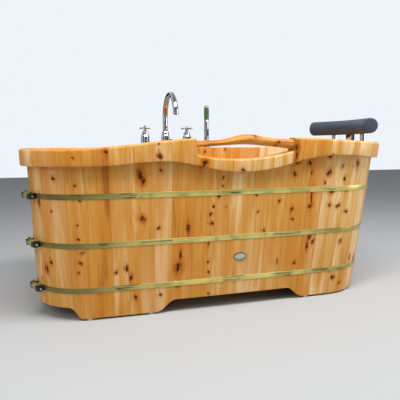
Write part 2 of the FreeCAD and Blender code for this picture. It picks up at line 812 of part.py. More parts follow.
def hand_shower(place):
    """Slim hand shower standing in its socket, and its spray face towards the tub."""
    base = socket_height + seat_play
    high = shower_top - place.z
    profile = [(0, base - shower_spigot_depth), (shower_spigot_radius, base - shower_spigot_depth),
               (shower_spigot_radius, base), (shower_radius, base), (shower_radius, high - shower_dome),
               (shower_radius - shower_dome, high), (0, high)]
    inner = shower_radius - spray_thickness
    corners = [(inner, spray_low), (shower_radius, spray_low)]
    corners += [(shower_radius, spray_high), (inner, spray_high)]
    outline = [Vector(radius, 0, z) for radius, z in corners + corners[:1]]
    face = Part.Face(Part.makePolygon(outline)).revolve(Vector(), Vector(0, 0, 1), 2 * spray_half_turn)
    face.rotate(Vector(), Vector(0, 0, 1), -90 - spray_half_turn)
    face.translate(Vector(place.x, place.y, 0))
    return turned(profile, place).cut(face), face


hot_place, spout_place, cold_place, shower_place = tap_places
spout_neck, aerator = spout(spout_place)
shower_body, shower_face = hand_shower(shower_place)

# Waste


def drain_body():
    """Flanged drain with a strainer hub that guides the plug's stem."""
    low = drain_neck_low - floor_top
    body = turned([(drain_bore_radius, low), (drain_neck_radius, low), (drain_neck_radius, 0),
                   (drain_flange_radius, 0), (drain_flange_radius, drain_flange_thickness / 2),
                   (drain_flange_radius - drain_flange_thickness, drain_flange_thickness),
                   (drain_bore_radius, drain_flange_thickness)], drain_place)
    bottom = drain_place - Vector(0, 0, drain_hub_drop + drain_hub_height)
    hub = Part.makeCylinder(drain_hub_radius, drain_hub_height, bottom)
    reach = (drain_bore_radius + drain_neck_radius) / 2
    for third in range(3):
        rib = Part.makeBox(reach, drain_rib_width, drain_hub_height, Vector(0, -drain_rib_width / 2, 0))
        rib.rotate(Vector(), Vector(0, 0, 1), 120 * third)
        hub = hub.fuse(rib.translated(bottom))
    bore = Part.makeCylinder(plug_stem_radius + running_play, far, drain_place - Vector(0, 0, far / 2))
    return body.fuse(hub.cut(bore))


def drain_tail():
    """Tailpiece that butts on the drain's neck."""
    low, top = tail_low - floor_top, drain_neck_low - floor_top
    shelf = top - tail_flange_thickness
    collar = shelf - tail_flange_thickness
    profile = [(tail_bore_radius, low), (tail_radius, low), (tail_radius, collar),
               (tail_collar_radius, collar), (tail_collar_radius, shelf), (drain_neck_radius, shelf),
               (drain_neck_radius, top), (tail_bore_radius, top)]
    return turned(profile, drain_place)


def coupling():
    """Nut that holds the tailpiece to the neck, with a lip under the tailpiece's flange."""
    shelf = drain_neck_low - floor_top - tail_flange_thickness
    top, low = shelf + coupling_height, shelf - tail_flange_thickness
    wide, narrow = drain_neck_radius + ring_play, tail_collar_radius + ring_play
    profile = [(wide, top), (coupling_radius, top), (coupling_radius, low), (narrow, low), (narrow, shelf),
               (wide, shelf)]
    return turned(profile, drain_place)


plug_base = drain_flange_thickness + seat_play
plug_top = plug_base + plug_cap_thickness
gasket_low = -floor_thickness - gasket_thickness
nut_low = gasket_low - locknut_thickness
ring_bore = drain_neck_radius + ring_play
drain_gasket = tube(gasket_radius, ring_bore, gasket_low, -floor_thickness, drain_place)
drain_locknut = tube(gasket_radius, ring_bore, nut_low, gasket_low, drain_place)
plug_cap = turned([(0, plug_base), (plug_cap_radius, plug_base),
                   (plug_cap_radius, (plug_base + plug_top) / 2),
                   (plug_cap_radius - plug_cap_thickness, plug_top), (0, plug_top)], drain_place)
plug_stem = turned([(0, plug_base - plug_stem_length), (plug_stem_radius, plug_base - plug_stem_length),
                    (plug_stem_radius, plug_base), (0, plug_base)], drain_place)
plug_seal = tube(plug_seal_radius, plug_stem_radius, plug_base - plug_seal_height, plug_base, drain_place)

# Headrest

cushion_bend = (cushion_half_span ** 2 + cushion_sag ** 2) / (2 * cushion_sag)
bend_x = post_x - cushion_forward - cushion_bend
cushion_turn = math.degrees(math.asin(cushion_half_span / cushion_bend))


def bent_roll(radius, shift, half_turn):
    """Round bar bent about the headrest's upright axis."""
    ring = Part.makeCircle(radius, Vector(bend_x + cushion_bend + shift, 0, cushion_height), Vector(0, 1, 0))
    bar = Part.Face(Part.Wire(ring)).revolve(Vector(bend_x, 0, 0), Vector(0, 0, 1), 2 * half_turn)
    bar.rotate(Vector(bend_x, 0, 0), Vector(0, 0, 1), -half_turn)
    return bar


def end_edges(bar):
    """Edges round the two flat ends of a bent bar."""
    closed = [edge for edge in bar.Edges if edge.isClosed()]
    return [edge for edge in closed if abs(edge.CenterOfMass.y) > cushion_half_span / 2]


def post(place):
    """Headrest post with the spigot that drops into its socket."""
    top = cushion_height - place.z
    base = seat_play
    return turned([(0, base - post_spigot_length), (post_spigot_radius, base - post_spigot_length),
                   (post_spigot_radius, base), (post_radius, base), (post_radius, top), (0, top)], place)


roll = bent_roll(cushion_radius, 0, cushion_turn)
roll = roll.makeFillet(cushion_edge, end_edges(roll))
rail = bent_roll(rail_radius, rail_shift, rail_half_turn)
posts = [post(place).cut(rail) for place in post_places]
bracket_low = socket_top + seat_play
bracket_x = bend_x + cushion_bend + rail_shift
bracket = Part.makeBox(bracket_thickness, bracket_width, cushion_height - bracket_low,
                       Vector(bracket_x - bracket_thickness / 2, -bracket_width / 2, bracket_low)).cut(rail)
cushion = largest(trim(roll, [rail, bracket] + posts))

# Nodes

nodes = dict(groups)
nodes.update({
    "floor_boards": floor_boards,
    "floor_bearers": bearers,
    "bearer_screws": floor_screws,
    "hoop_lugs": gathered("lugs"),
    "trunnion_pins": gathered("pins"),
    "tension_bolts": gathered("bolt"),
    "tension_sleeves": gathered("sleeve"),
    "tension_nuts": gathered("nut"),
    "grab_handle": [grab_handle()],
    "handle_dowels": dowels,
    "badge_plate": [badge()],
    "glides": glides,
    "hot_valve_body": [valve(hot_place)],
    "cold_valve_body": [valve(cold_place)],
    "hot_cross_handle": cross_handle(hot_place),
    "cold_cross_handle": cross_handle(cold_place),
    "hot_handle_cap": [handle_cap(hot_place)],
    "cold_handle_cap": [handle_cap(cold_place)],
    "shank_washers": [washer(place) for place in tap_places],
    "shank_backnuts": [backnut(place) for place in tap_places],
    "spout_base": [spout_base(spout_place)],
    "spout": [spout_neck],
    "spout_aerator": [aerator],
    "diverter_knob": [diverter(spout_place)],
    "hand_shower_socket": [shower_socket(shower_place)],
    "hand_shower_body": [shower_body],
    "hand_shower_face": [shower_face],
    "drain_body": [drain_body()],
    "drain_gasket": [drain_gasket],
    "drain_locknut": [drain_locknut],
    "drain_coupling": [coupling()],
    "drain_tailpiece": [drain_tail()],
    "drain_plug_cap": [plug_cap],
    "drain_plug_stem": [plug_stem],
    "drain_plug_seal": [plug_seal],
    "headrest_cushion": [cushion],
    "headrest_rail": [rail],
    "headrest_posts": posts,
    "headrest_bracket": [bracket],
    "headrest_sockets": post_sockets,
})
for level, height in hoop_heights.items():
    nodes["hoop_" + level] = [hoop(height)]

os.makedirs("parts", exist_ok=True)
for name, solids in nodes.items():
    save(name, solids)
    print(name, len(solids), all(solid.isValid() for solid in solids))
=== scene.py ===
"""Looks of a freestanding wooden soaking tub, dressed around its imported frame."""

import json
import logging
import math
import random
from contextlib import contextmanager
from dataclasses import dataclass
from enum import Enum
from typing import Any, Callable, Iterator, Optional, Sequence

import bmesh
import bpy
from mathutils import Matrix, Vector

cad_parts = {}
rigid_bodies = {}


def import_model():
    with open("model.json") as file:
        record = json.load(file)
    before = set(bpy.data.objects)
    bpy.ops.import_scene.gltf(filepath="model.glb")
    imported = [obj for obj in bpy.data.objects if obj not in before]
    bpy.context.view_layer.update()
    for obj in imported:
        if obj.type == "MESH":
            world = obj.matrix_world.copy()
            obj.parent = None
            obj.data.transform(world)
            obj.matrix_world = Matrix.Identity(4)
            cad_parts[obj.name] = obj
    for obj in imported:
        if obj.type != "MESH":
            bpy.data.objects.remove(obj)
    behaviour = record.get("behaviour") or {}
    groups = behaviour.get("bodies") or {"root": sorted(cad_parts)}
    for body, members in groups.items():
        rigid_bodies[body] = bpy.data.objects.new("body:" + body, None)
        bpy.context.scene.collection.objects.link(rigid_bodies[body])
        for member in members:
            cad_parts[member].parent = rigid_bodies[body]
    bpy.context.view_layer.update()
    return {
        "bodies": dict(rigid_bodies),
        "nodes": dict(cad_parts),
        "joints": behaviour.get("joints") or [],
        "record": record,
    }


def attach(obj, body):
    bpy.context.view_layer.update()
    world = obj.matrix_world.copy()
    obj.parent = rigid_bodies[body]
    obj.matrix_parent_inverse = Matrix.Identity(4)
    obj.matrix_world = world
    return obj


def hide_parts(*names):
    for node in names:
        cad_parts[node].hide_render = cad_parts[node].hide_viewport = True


LOG = logging.getLogger("tub")
MM = 0.001
WELD = 1e-6
PARALLEL = 1e-9
FLAT_ANGLE = 0.1
SHARP_ANGLE = 32.0
EDGE_SHARE = 0.48
KNOT_SLOTS = 8
UP = Vector((0, 0, 1))

Outline = list[tuple[float, float]]
Triple = tuple[float, float, float]
Piece = bpy.types.Object
Nodes = dict[str, bpy.types.Object]
Socket = bpy.types.NodeSocket
Sockets = dict[str, bpy.types.NodeSocket]


class Body(str, Enum):
    """Bodies of the frame that pieces ride on."""

    TUB = "tub"
    HOT = "hot_handle"
    COLD = "cold_handle"
    SPOUT = "spout_swivel"
    DIVERTER = "diverter"
    SHOWER = "hand_shower"
    PLUG = "drain_plug"
    HEADREST = "headrest"


class Run(Enum):
    """Arcs of the tub's plan, named by the side that they are on."""

    FRONT = "front"
    FRONT_HEAD = "front_head"
    HEAD = "head"
    REAR_HEAD = "rear_head"
    REAR = "rear"
    REAR_FOOT = "rear_foot"
    FOOT = "foot"
    FRONT_FOOT = "front_foot"


# Shaping

def pick(*pieces: Piece) -> None:
    """Select some pieces alone and make the first one active."""
    bpy.ops.object.select_all(action="DESELECT")
    for piece in pieces:
        piece.select_set(True)
    bpy.context.view_layer.objects.active = pieces[0] if pieces else None


@contextmanager
def editing(piece: Piece) -> Iterator[None]:
    """Edit mode on one piece, with all of it selected."""
    pick(piece)
    bpy.ops.object.mode_set(mode="EDIT")
    bpy.ops.mesh.select_all(action="SELECT")
    yield
    bpy.ops.object.mode_set(mode="OBJECT")


def applied(piece: Piece, kind: str, **settings: Any) -> None:
    """Add a modifier with its settings to a piece and apply it."""
    modifier = piece.modifiers.new(kind.lower(), kind)
    for key, value in settings.items():
        setattr(modifier, key, value)
    pick(piece)
    bpy.ops.object.modifier_apply(modifier=modifier.name)


def rounded(corners: Sequence[Triple], steps: int = 4, closed: bool = True) -> Outline:
    """Turn the corners of an outline into arcs.

    Args:
        corners: Two coordinates and the arc's radius for each corner.
        steps: Straight pieces in each arc.
        closed: Whether the last corner joins the first.

    Returns:
        Points of the outline.
    """
    points: Outline = []
    count = len(corners)
    for index, (a, b, radius) in enumerate(corners):
        at_end = not closed and index in (0, count - 1)
        if radius == 0 or at_end:
            points.append((a, b))
            continue
        here = Vector((a, b))
        before = Vector(corners[index - 1][:2]) - here
        after = Vector(corners[(index + 1) % count][:2]) - here
        half = before.angle(after) / 2
        back = min(radius / math.tan(half), EDGE_SHARE * before.length, EDGE_SHARE * after.length)
        start, finish = here + before.normalized() * back, here + after.normalized() * back
        for step in range(steps + 1):
            t = step / steps
            parts = ((1 - t) ** 2, 2 * t * (1 - t) * math.sin(half), t * t)
            point = (start * parts[0] + here * parts[1] + finish * parts[2]) / sum(parts)
            points.append((point.x, point.y))
    return points


def wrap(name: str, columns: int, rows: int, place: Callable[[int, int], Vector]) -> Piece:
    """Lay a grid over a surface and close its seams and poles.

    Args:
        name: Name of the new piece.
        columns: Steps of the grid one way.
        rows: Steps of the grid the other way.
        place: Gives the point in metres for a column and a row.

    Returns:
        The new piece, at the origin, with open ends filled and faces outwards.
    """
    pick()
    bpy.ops.mesh.primitive_grid_add(x_subdivisions=columns, y_subdivisions=rows, size=2)
    piece = bpy.context.object
    piece.name = piece.data.name = name
    for vertex in piece.data.vertices:
        column = round((vertex.co.x + 1) / 2 * columns)
        row = round((vertex.co.y + 1) / 2 * rows)
        vertex.co = place(column, row)
    with editing(piece):
        bpy.ops.mesh.remove_doubles(threshold=WELD)
        bpy.ops.mesh.fill_holes(sides=0)
        bpy.ops.mesh.select_all(action="SELECT")
        bpy.ops.mesh.normals_make_consistent(inside=False)
        bpy.ops.mesh.delete_loose()
    return piece


def turned(name: str, corners: Sequence[Triple], place: Vector, steps: int = 48, arc_steps: int = 4) -> Piece:
    """Turn a profile about an upright axis, as on a lathe.

    Args:
        name: Name of the new piece.
        corners: Radius, height and rounding of each corner of the profile, in millimetres.
        place: Foot of the axis, in metres.
        steps: Sides of the turned piece.
        arc_steps: Straight pieces in each rounding.

    Returns:
        The new piece.
    """
    profile = rounded(corners, arc_steps, closed=False)

    def point(column: int, row: int) -> Vector:
        """Point of the turned surface."""
        radius, height = profile[row]
        turn = math.tau * (column % steps) / steps
        return place + Vector((radius * math.cos(turn), radius * math.sin(turn), height)) * MM
    return wrap(name, steps, len(profile) - 1, point)


def tangents(path: Sequence[Vector]) -> list[Vector]:
    """Way of a path at each of its points."""
    last = len(path) - 1
    return [(path[min(index + 1, last)] - path[max(index - 1, 0)]).normalized() for index in range(last + 1)]


def piped(name: str, path: Sequence[Vector], radii: Sequence[float], steps: int,
          ways: Optional[Sequence[Vector]] = None) -> Piece:
    """Run a round section along a path that lies in one plane.

    Args:
        name: Name of the new piece.
        path: Points of the middle line, in metres.
        radii: Radius at each point, in millimetres.
        steps: Sides of the section.
        ways: Way that the section faces at each point, if it isn't the path's own.

    Returns:
        The new piece, closed at both ends.
    """
    ways = ways or tangents(path)
    normal = ways[0].cross(path[len(path) // 2] - path[0])
    normal = normal.normalized() if normal.length > PARALLEL else ways[0].orthogonal().normalized()

    def point(column: int, row: int) -> Vector:
        """Point of the pipe's skin."""
        turn = math.tau * (column % steps) / steps
        other = ways[row].cross(normal)
        return path[row] + (normal * math.cos(turn) + other * math.sin(turn)) * radii[row] * MM
    return wrap(name, steps, len(path) - 1, point)


def joined(name: str, pieces: Sequence[Piece]) -> Piece:
    """Join pieces into one object."""
    pick(*pieces)
    bpy.ops.object.join()
    pieces[0].name = pieces[0].data.name = name
    return pieces[0]


def bored(piece: Piece, radius: float, low: Vector, high: Vector, sides: int = 40) -> None:
    """Cut an upright round hole.

    Args:
        piece: Piece to cut.
        radius: Radius of the hole, in millimetres.
        low: Lower end of the hole, in metres.
        high: Upper end of the hole, in metres.
        sides: Sides of the hole.
    """
    pick()
    bpy.ops.mesh.primitive_cylinder_add(vertices=sides, radius=radius * MM, depth=(high - low).length,
                                        location=(low + high) / 2)
    drill = bpy.context.object
    applied(piece, "BOOLEAN", operation="DIFFERENCE", object=drill, solver="EXACT")
    bpy.data.objects.remove(drill)


def mark_board(piece: Piece, places: Sequence[Sequence[float]], grain: Triple,
               knots: Sequence[tuple[float, ...]]) -> None:
    """Write a board's own places, grain and knots into its mesh.

    Args:
        piece: The board.
        places: Place of each vertex across, along and out of the board, in metres.
        grain: Seed, tone and half width of the board.
        knots: Place across and along, radius and stretch of each knot.
    """
    attributes, count = piece.data.attributes, len(piece.data.vertices)
    board = attributes.new("board", "FLOAT_VECTOR", "POINT")
    board.data.foreach_set("vector", [part for place in places for part in place])
    stave = attributes.new("stave", "FLOAT_VECTOR", "POINT")
    stave.data.foreach_set("vector", grain * count)
    for index, knot in enumerate(knots):
        layer = attributes.new(f"knot_{index}", "FLOAT_COLOR", "POINT")
        layer.data.foreach_set("color", knot * count)


# Materials

class Graph:
    """Node tree that is written as calls."""

    def __init__(self, tree: bpy.types.NodeTree) -> None:
        """Keep the tree."""
        self.tree = tree

    def feed(self, node: bpy.types.Node, values: dict[Any, Any]) -> None:
        """Link or set the inputs of a node, by name or number."""
        for key, value in values.items():
            if isinstance(value, Socket):
                self.tree.links.new(value, node.inputs[key])
            else:
                node.inputs[key].default_value = value

    def node(self, kind: str, inputs: Optional[dict[Any, Any]] = None, **settings: Any) -> bpy.types.Node:
        """Add a node.

        Args:
            kind: Node type without its ShaderNode prefix.
            inputs: Value or socket for each input, by name or number.
            settings: Properties of the node.

        Returns:
            The new node.
        """
        made = self.tree.nodes.new("ShaderNode" + kind)
        for key, value in settings.items():
            setattr(made, key, value)
        self.feed(made, inputs or {})
        return made

    def math(self, operation: str, *values: Any) -> Socket:
        """Add a math node and return its result."""
        return self.node("Math", dict(enumerate(values)), operation=operation).outputs[0]

    def times(self, first: Any, second: Any) -> Socket:
        """Product of two values."""
        return self.math("MULTIPLY", first, second)

    def linear(self, value: Any, slope: Any, start: Any) -> Socket:
        """Value times a slope, plus a start."""
        return self.math("MULTIPLY_ADD", value, slope, start)

    def length(self, first: Any, second: Any) -> Socket:
        """Length of a vector with two parts."""
        return self.math("SQRT", self.math("ADD", self.times(first, first), self.times(second, second)))

    def scaled(self, vector: Any, scale: Sequence[float], shift: Any = (0.0, 0.0, 0.0)) -> Socket:
        """Scale a vector by parts and shift it."""
        return self.node("VectorMath", {0: vector, 1: scale, 2: shift}, operation="MULTIPLY_ADD").outputs[0]

    def combined(self, *values: Any) -> Socket:
        """Vector of three parts."""
        return self.node("CombineXYZ", dict(enumerate(values))).outputs[0]

    def chance(self, seed: Any, output: str) -> Socket:
        """Random value or colour for a seed."""
        return self.node("TexWhiteNoise", {"W": seed}, noise_dimensions="1D").outputs[output]

    def noise(self, vector: Any, scale: float, detail: float = 2.0, distortion: float = 0.0) -> Socket:
        """Add a noise texture and return its value."""
        return self.node("TexNoise", {"Vector": vector, "Scale": scale, "Detail": detail,
                                      "Distortion": distortion}).outputs[0]

    def ranged(self, value: Any, low: float, high: float, start: float = 0.0, finish: float = 1.0) -> Socket:
        """Map a range smoothly to another one."""
        return self.node("MapRange", {0: value, 1: low, 2: high, 3: start, 4: finish},
                         interpolation_type="SMOOTHSTEP").outputs[0]

    def mixed(self, factor: Any, first: Any, second: Any) -> Socket:
        """Mix two colours."""
        pair = [(*value, 1.0) if isinstance(value, tuple) else value for value in (first, second)]
        return self.node("Mix", {0: factor, 6: pair[0], 7: pair[1]}, data_type="RGBA").outputs[2]

    def ramp(self, factor: Any, stops: Sequence[tuple[float, Triple]]) -> Socket:
        """Colour by a ramp of stops."""
        made = self.node("ValToRGB", {0: factor})
        elements = made.color_ramp.elements
        while len(elements) < len(stops):
            elements.new(1.0)
        for element, (place, colour) in zip(elements, stops):
            element.position, element.color = place, (*colour, 1.0)
        return made.outputs[0]

    def parts(self, vector: Any) -> list[Socket]:
        """Split a vector into its three parts."""
        return list(self.node("SeparateXYZ", {0: vector}).outputs)

    def attribute(self, name: str) -> bpy.types.Node:
        """Read an attribute of the mesh."""
        return self.node("Attribute", attribute_name=name)

    def object_place(self) -> Socket:
        """Place on the object, in metres."""
        return self.node("TexCoord").outputs["Object"]

    def bump(self, height: Any, distance: float, strength: float) -> Socket:
        """Normal that is bumped by a height; distance is in millimetres."""
        return self.node("Bump", {"Height": height, "Distance": distance * MM,
                                  "Strength": strength}).outputs[0]


@dataclass(frozen=True)
class Effect:
    """Shared node group with named inputs and outputs."""

    name: str
    inputs: tuple[tuple[str, str], ...]
    outputs: tuple[str, ...]
    fill: Callable[[Graph, Sockets], Sockets]

    def place(self, graph: Graph, **values: Any) -> Sockets:
        """Put the group into a material.

        Args:
            graph: Tree of the material.
            values: Value or socket for each input, by its name.

        Returns:
            The group's outputs by name.
        """
        node = graph.node("Group", node_tree=bpy.data.node_groups.get(self.name) or self.make())
        graph.feed(node, values)
        return {output.name: output for output in node.outputs}

    def make(self) -> bpy.types.NodeTree:
        """Build the group once."""
        tree = bpy.data.node_groups.new(self.name, "ShaderNodeTree")
        for name, kind in self.inputs:
            tree.interface.new_socket(name, in_out="INPUT", socket_type="NodeSocket" + kind)
        for name in self.outputs:
            tree.interface.new_socket(name, in_out="OUTPUT", socket_type="NodeSocketFloat")
        entry, leave = tree.nodes.new("NodeGroupInput"), tree.nodes.new("NodeGroupOutput")
        graph = Graph(tree)
        graph.feed(leave, self.fill(graph, {socket.name: socket for socket in entry.outputs if socket.name}))
        return tree


@dataclass(frozen=True)
class Weave:
    """Noise on a board: how fine it is across and along the board, its detail, distortion and bounds."""

    across: float
    along: float
    detail: float
    distortion: float = 0.0
    bounds: Optional[tuple[float, float]] = None

    def place(self, graph: Graph, board: Any, shift: Any = (0.0, 0.0, 0.0)) -> Socket:
        """Value of the noise on a board, spread between its bounds if it has them."""
        fineness = (self.across, self.along, self.across)
        value = graph.noise(graph.scaled(board, fineness, shift), 1.0, self.detail, self.distortion)
        return graph.ranged(value, *self.bounds) if self.bounds else value


WAVER = Weave(9.0, 1.6, 3.0)
FIBRE = Weave(420.0, 9.0, 4.0)
STREAKS = Weave(46.0, 3.4, 4.0, 0.5)
BANDS = Weave(22.0, 2.0, 3.0, 0.5)
PITCH_LINES = Weave(110.0, 4.5, 2.0, bounds=(0.66, 0.75))
FLUSH = Weave(15.0, 3.4, 3.0, 0.5, (0.44, 0.68))
BLUSH = Weave(11.0, 1.4, 3.0, 0.4, (0.5, 0.34))
RAGGED = Weave(150.0, 75.0, 3.0)
CHAR = Weave(60.0, 30.0, 2.0)

SEED_SHIFT = 3.7
WAVER_REACH = 0.016
PITH_SPREAD = 0.11
PITH_LEAN = 0.09
PITH_NEAREST, PITH_RANGE = 0.022, 0.055
RING_NARROWEST, RING_RANGE = 0.0065, 0.004
RING_POWER = 2.2
RING_FALL = 0.9


def figure_nodes(graph: Graph, given: Sockets) -> Sockets:
    """Figure of a board: rings round a pith beside it, fibres, streaks, bands, pitch lines and flushes."""
    board, seed = given["Board"], given["Seed"]
    chance = graph.parts(graph.chance(seed, "Color"))
    across, along, deep = graph.parts(board)
    shift = graph.combined(graph.times(seed, SEED_SHIFT), 0.0, seed)
    side = graph.math("ADD", across, graph.linear(chance[0], PITH_SPREAD, -PITH_SPREAD / 2))
    side = graph.linear(WAVER.place(graph, board, shift), WAVER_REACH, side)
    depth = graph.linear(along, graph.linear(chance[2], PITH_LEAN, -PITH_LEAN / 2), deep)
    depth = graph.math("ADD", depth, graph.linear(chance[1], PITH_RANGE, PITH_NEAREST))
    ring_width = graph.linear(chance[0], RING_RANGE, RING_NARROWEST)
    turn = graph.math("FRACT", graph.math("DIVIDE", graph.length(side, depth), ring_width))
    rings = graph.times(graph.math("POWER", turn, RING_POWER), graph.ranged(turn, 1.0, RING_FALL))
    weaves = {"Fibre": FIBRE, "Streaks": STREAKS, "Bands": BANDS, "Pitch": PITCH_LINES, "Flush": FLUSH,
              "Blush": BLUSH}
    return {"Rings": rings, **{name: weave.place(graph, board, shift) for name, weave in weaves.items()}}


SMALLEST_KNOT = 1e-5
KNOT_RAGGEDNESS = 3.2
KNOT_CORE = (0.9, 0.55)
KNOT_RING = (1.5, 0.95)
KNOT_HALO = (3.4, 1.0)
KNOT_PULL = (3.6, 0.6)
TAIL_WIDTH = (0.5, 0.1)
TAIL_REACH = (6.5, 2.0)
TAIL_BREAKS = (0.42, 0.6)
TAIL_SHARE = 0.8


def knot_nodes(graph: Graph, given: Sockets) -> Sockets:
    """One knot: its dark core, the bark ring, the stained halo and how far it pulls the grain aside."""
    across, along, _ = graph.parts(given["Board"])
    knot_across, knot_along, radius = graph.parts(given["Knot"])
    radius = graph.math("MAXIMUM", radius, SMALLEST_KNOT)
    rise = graph.math("DIVIDE", graph.math("SUBTRACT", along, knot_along), given["Stretch"])
    side = graph.linear(rise, given["Slant"], graph.math("SUBTRACT", across, knot_across))
    reach = graph.math("DIVIDE", graph.length(side, rise), radius)
    rough = graph.linear(given["Ragged"], KNOT_RAGGEDNESS, -KNOT_RAGGEDNESS / 2)
    ragged = graph.math("ADD", reach, rough)
    tail = graph.ranged(graph.math("ABSOLUTE", graph.math("DIVIDE", side, radius)), *TAIL_WIDTH)
    tail = graph.times(tail, graph.ranged(reach, *TAIL_REACH))
    tail = graph.times(tail, graph.ranged(given["Ragged"], *TAIL_BREAKS))
    ring = graph.math("MAXIMUM", graph.ranged(ragged, *KNOT_RING), graph.times(tail, TAIL_SHARE))
    return {"Core": graph.ranged(ragged, *KNOT_CORE), "Ring": ring, "Halo": graph.ranged(ragged, *KNOT_HALO),
            "Pull": graph.times(side, graph.ranged(reach, *KNOT_PULL))}


TARNISH_FINENESS = (7.0, 7.0, 250.0)
TARNISH_BOUNDS = (0.55, 0.62)
BLOTCH_FINENESS = 9.0
BLOTCH_BOUNDS = (0.49, 0.58)
ROLLING_FINENESS = (6.0, 6.0, 900.0)


def patina_nodes(graph: Graph, given: Sockets) -> Sockets:
    """Tarnish on a rolled band: dark streaks along it, blotches and fine rolling lines."""
    streaks = graph.noise(graph.scaled(given["Place"], TARNISH_FINENESS), 1.0, 4.0, 0.3)
    blotches = graph.noise(given["Place"], BLOTCH_FINENESS, 4.0, 0.8)
    lines = graph.noise(graph.scaled(given["Place"], ROLLING_FINENESS), 1.0)
    dark = graph.times(graph.ranged(streaks, *TARNISH_BOUNDS), graph.ranged(blotches, *BLOTCH_BOUNDS))
    return {"Dark": dark, "Blotches": blotches, "Lines": lines}


SMUDGE_FINENESS = 38.0
SMUDGE_BOUNDS = (0.35, 0.75)
SPECK_FINENESS = 620.0


def handling_nodes(graph: Graph, given: Sockets) -> Sockets:
    """Traces of use on a smooth surface: smudges and small specks."""
    smudge = graph.noise(given["Place"], SMUDGE_FINENESS, 3.0, 0.5)
    return {"Smudge": graph.ranged(smudge, *SMUDGE_BOUNDS),
            "Speck": graph.noise(given["Place"], SPECK_FINENESS)}


FIGURE = Effect("board_figure", (("Board", "Vector"), ("Seed", "Float")),
                ("Rings", "Fibre", "Streaks", "Bands", "Pitch", "Flush", "Blush"), figure_nodes)
KNOT = Effect("board_knot", (("Board", "Vector"), ("Knot", "Vector"), ("Stretch", "Float"),
                             ("Slant", "Float"), ("Ragged", "Float")),
              ("Core", "Ring", "Halo", "Pull"), knot_nodes)
PATINA = Effect("band_patina", (("Place", "Vector"),), ("Dark", "Blotches", "Lines"), patina_nodes)
HANDLING = Effect("handling", (("Place", "Vector"),), ("Smudge", "Speck"), handling_nodes)


@dataclass(frozen=True)
class Finish:
    """Base of all finishes: one material with a single shader."""

    name: str

    def make(self) -> bpy.types.Material:
        """Build the material once."""
        found = bpy.data.materials.get(self.name)
        if found:
            return found
        material = bpy.data.materials.new(self.name)
        material.use_nodes = True
        graph = Graph(material.node_tree)
        graph.feed(material.node_tree.nodes["Principled BSDF"], self.sockets(graph))
        return material

    def sockets(self, graph: Graph) -> dict[str, Any]:
        """Value or socket for each input of the shader."""
        raise NotImplementedError


class Grain(Enum):
    """Where a board's pattern is read from."""

    STAVE = "own attributes"
    LENGTH = "lanes along the tub"
    WIDTH = "one board across the tub"


